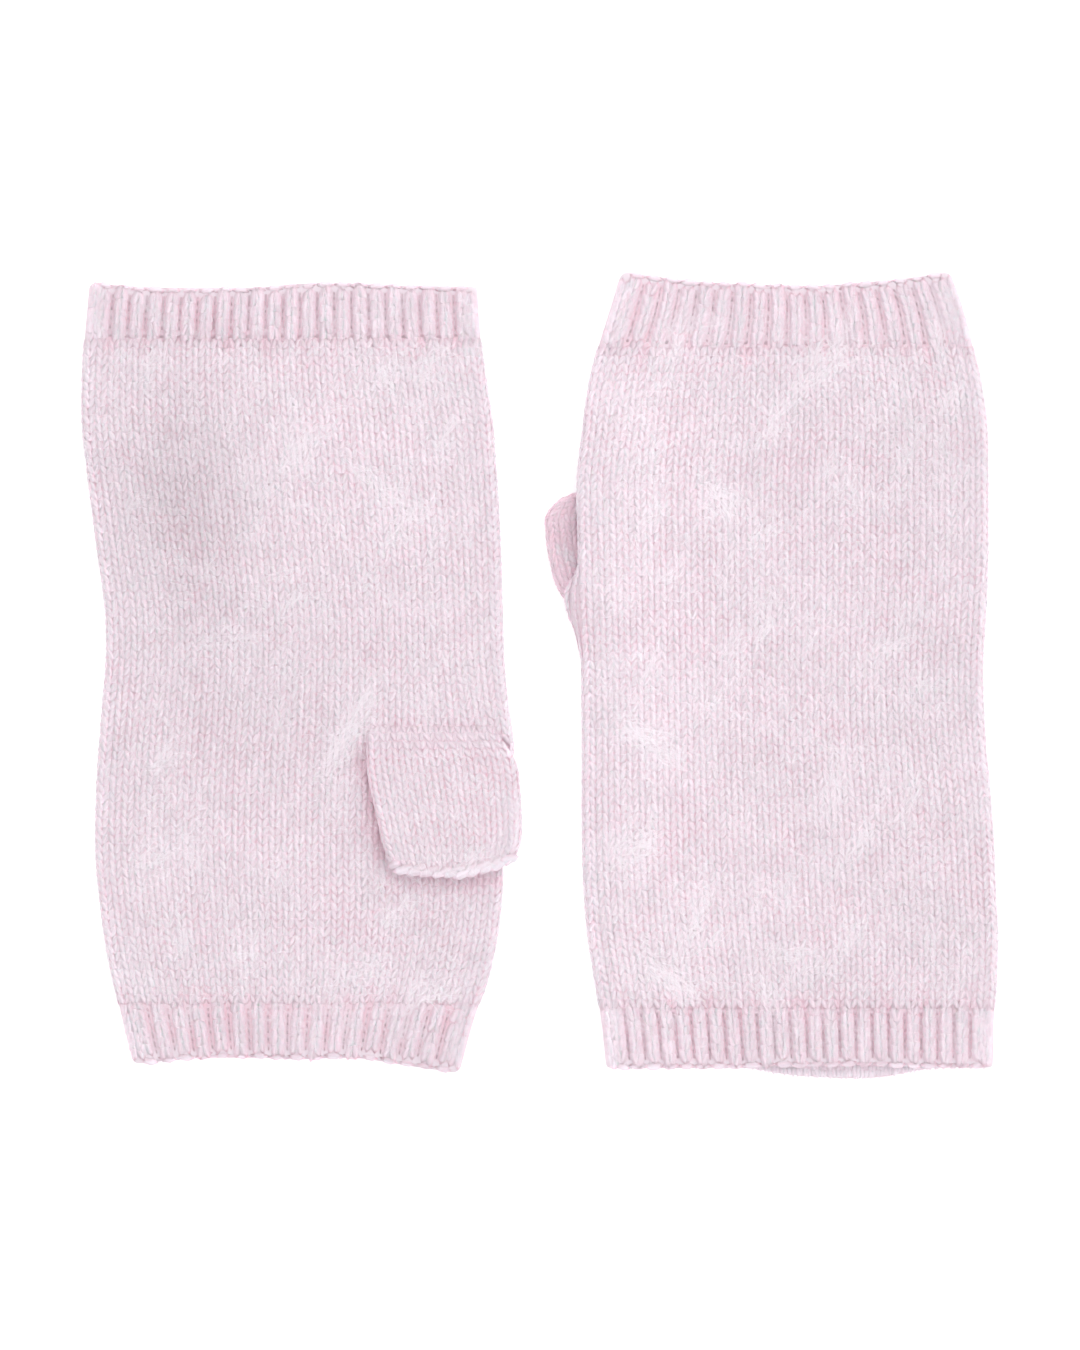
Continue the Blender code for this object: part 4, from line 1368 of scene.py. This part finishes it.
def carrier_sheet(name, surface, turns, alongs, fold_reach, hems, bare=None):
    """An open sheet that only carries the fibres. Near a fold or a hem they are short and lie along it."""
    turn, along = np.meshgrid(turns, alongs)
    point, around, run, out = directions(surface, turn, along, FIBRE_LIFT)
    grid = np.arange(turn.size).reshape(turn.shape)
    quads = np.stack([grid[:-1, :-1], grid[:-1, 1:], grid[1:, 1:], grid[1:, :-1]], axis=-1).reshape(-1, 4)
    handed = (np.cross(around, run) * out).sum(axis=-1).mean()
    point, around, run = (values.reshape(-1, 3) for values in (point, around, run))
    turn, along = turn.ravel(), along.ravel()
    mesh = bpy.data.meshes.new(name)
    mesh.from_pydata(point.tolist(), [], (quads if handed > 0 else quads[:, ::-1]).tolist())
    x, y = point[:, 0] / MM, point[:, 1] / MM
    past_fold = np.mod(turn, 0.5)
    inland = smoothstep(np.minimum(past_fold, 0.5 - past_fold), *fold_reach)
    past_hem = np.minimum(along - hems[0], hems[1] - along)
    from_hem, past_rib = smoothstep(past_hem, *HEM_REACH), smoothstep(past_hem, *RIB_REACH)
    swirl = (SWIRL_LEVEL + SWIRL_BY_WAVES * waves_at(x, y, 23)) * from_hem
    swirl = (swirl + np.pi / 2 * (1.0 - from_hem)) * inland
    flow = run * np.cos(swirl)[:, None] + around * np.sin(swirl)[:, None]
    total, *pull = streaks_at(x, y)
    combed = np.clip(total, 0.0, 1.0) * inland * from_hem
    pull = np.stack([*pull, 0.0 * x], axis=-1) * (combed / (total + 1e-6))[:, None]
    flow = flow * (1.0 - combed)[:, None] + pull
    nap = nap_at(point) if bare is None else nap_at(point) * ~bare(turn, along)
    spread = EDGE_SPREAD + (WIDEST_SPREAD - EDGE_SPREAD) * inland * from_hem * (1.0 - combed)
    longer = INLAND_SIZE + COMBED_LONGER * combed
    size = EDGE_SIZE + (1.0 - EDGE_SIZE) * inland * past_rib * longer
    paint(mesh, nap=nap, shade=shade_at(point), flow=flow, spread=spread, size=size)
    return placed(name, mesh)


# %% The mist over each glove
FIBRES_PER_M2 = 850000.0
MIST_STEP, THUMB_MIST_STEP = 1.2, 0.06
UPPER_TURNS = spaced(0.002, 0.498, step=0.006)
TUCKED_THUMB_TURNS = spaced(0.505, 0.7, step=0.01)
NO_HEMS = (-100.0, 100.0)
RISE_ONTO_RIB = 3.0


def hand_above(glove, turn, along, height):
    """The hand's surface for fibres, higher over the ribs."""
    to_wrist = 1.0 - smoothstep(along, glove["wrist_rib_end"] - RISE_ONTO_RIB, glove["wrist_rib_end"])
    to_fingers = smoothstep(along, glove["finger_rib_start"], glove["finger_rib_start"] + RISE_ONTO_RIB)
    raised = (RIB_FIBRE_LIFT - FIBRE_LIFT) * (to_wrist + to_fingers)
    return hand_surface(glove, turn, along, height + raised)


def under_thumb(glove, turn, along):
    """Where the folded thumb hides the palm, so that no fibres grow there."""
    past = (along > SLIT_FROM + 3.0) & (along < glove["thumb"][-1][0] - 1.0)
    return past & (loop_at(turn)[0] > SLIT_INNER_SHARE + 0.03) & glove["palm_up"]


def grow(carrier, name, seed):
    """Fibres on a carrier. So fine a mist lets light through: it shades neither itself nor the yarn."""
    mist = run_tree(
        carrier, SCATTER, name, Fibres=fibre_shapes, Finish=FIBRE_FINISH,
        Density=FIBRES_PER_M2, Seed=float(seed),
    )
    mist.visible_shadow = False
    mist.visible_diffuse = False
    return mist


fuzz = {}
for number, glove in enumerate((LEFT, RIGHT)):
    name, hems = glove["name"], (0.0, glove["finger_hem"])
    above, bare = partial(hand_above, glove), partial(under_thumb, glove)
    halfway = (glove["wrist_rib_end"] + glove["finger_rib_start"]) / 2
    fuzz[f"{name}_body"] = []
    for half, (start, end) in enumerate(((MIST_STEP, halfway), (halfway, glove["finger_hem"] - MIST_STEP))):
        reach = spaced(start, end, step=MIST_STEP)
        sheet = carrier_sheet(f"{name}_nap_{half}", above, UPPER_TURNS, reach, HAND_FOLD_REACH, hems, bare)
        fuzz[f"{name}_body"].append(grow(sheet, f"{name}_hand_mist_{half}", 50 + 2 * number + half))
    start, turns = (0.05, UPPER_TURNS) if glove["palm_up"] else (0.2, TUCKED_THUMB_TURNS)
    reach = spaced(start, 0.97, step=THUMB_MIST_STEP)
    above = partial(thumb_surface, glove)
    sheet = carrier_sheet(f"{name}_thumb_nap", above, turns, reach, THUMB_FOLD_REACH, NO_HEMS)
    fuzz[f"{name}_thumb"] = [grow(sheet, f"{name}_thumb_mist", 60 + number)]

# %% [markdown]
# ## Handing the pieces over
#
# Every piece rides on the one body of the model and stands for its solid, which is hidden. Each
# cloth wall goes with its stitches and fibres.

# %% Ride and replace
# metres round each tube: body and thumb with their lengths, and the ribbed bands
CUTS = {"left": ((0.206, 0.168), (0.076, 0.038)), "right": ((0.208, 0.167), (0.076, 0.036))}


def hand_over(node, cloth):
    extras = stitches[node] + fuzz.get(node, [])
    for piece in (cloth, *extras):
        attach(piece, "root")
    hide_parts(node)


for name, (body_cut, thumb_cut) in CUTS.items():
    hand_over(f"{name}_body", hands[name])
    hand_over(f"{name}_thumb", thumbs[name])
for name, (band, glove, hem, seam, *_) in bands.items():
    hand_over(name, band)
print("pieces handed over for", 2 * len(CUTS) + len(bands), "nodes")
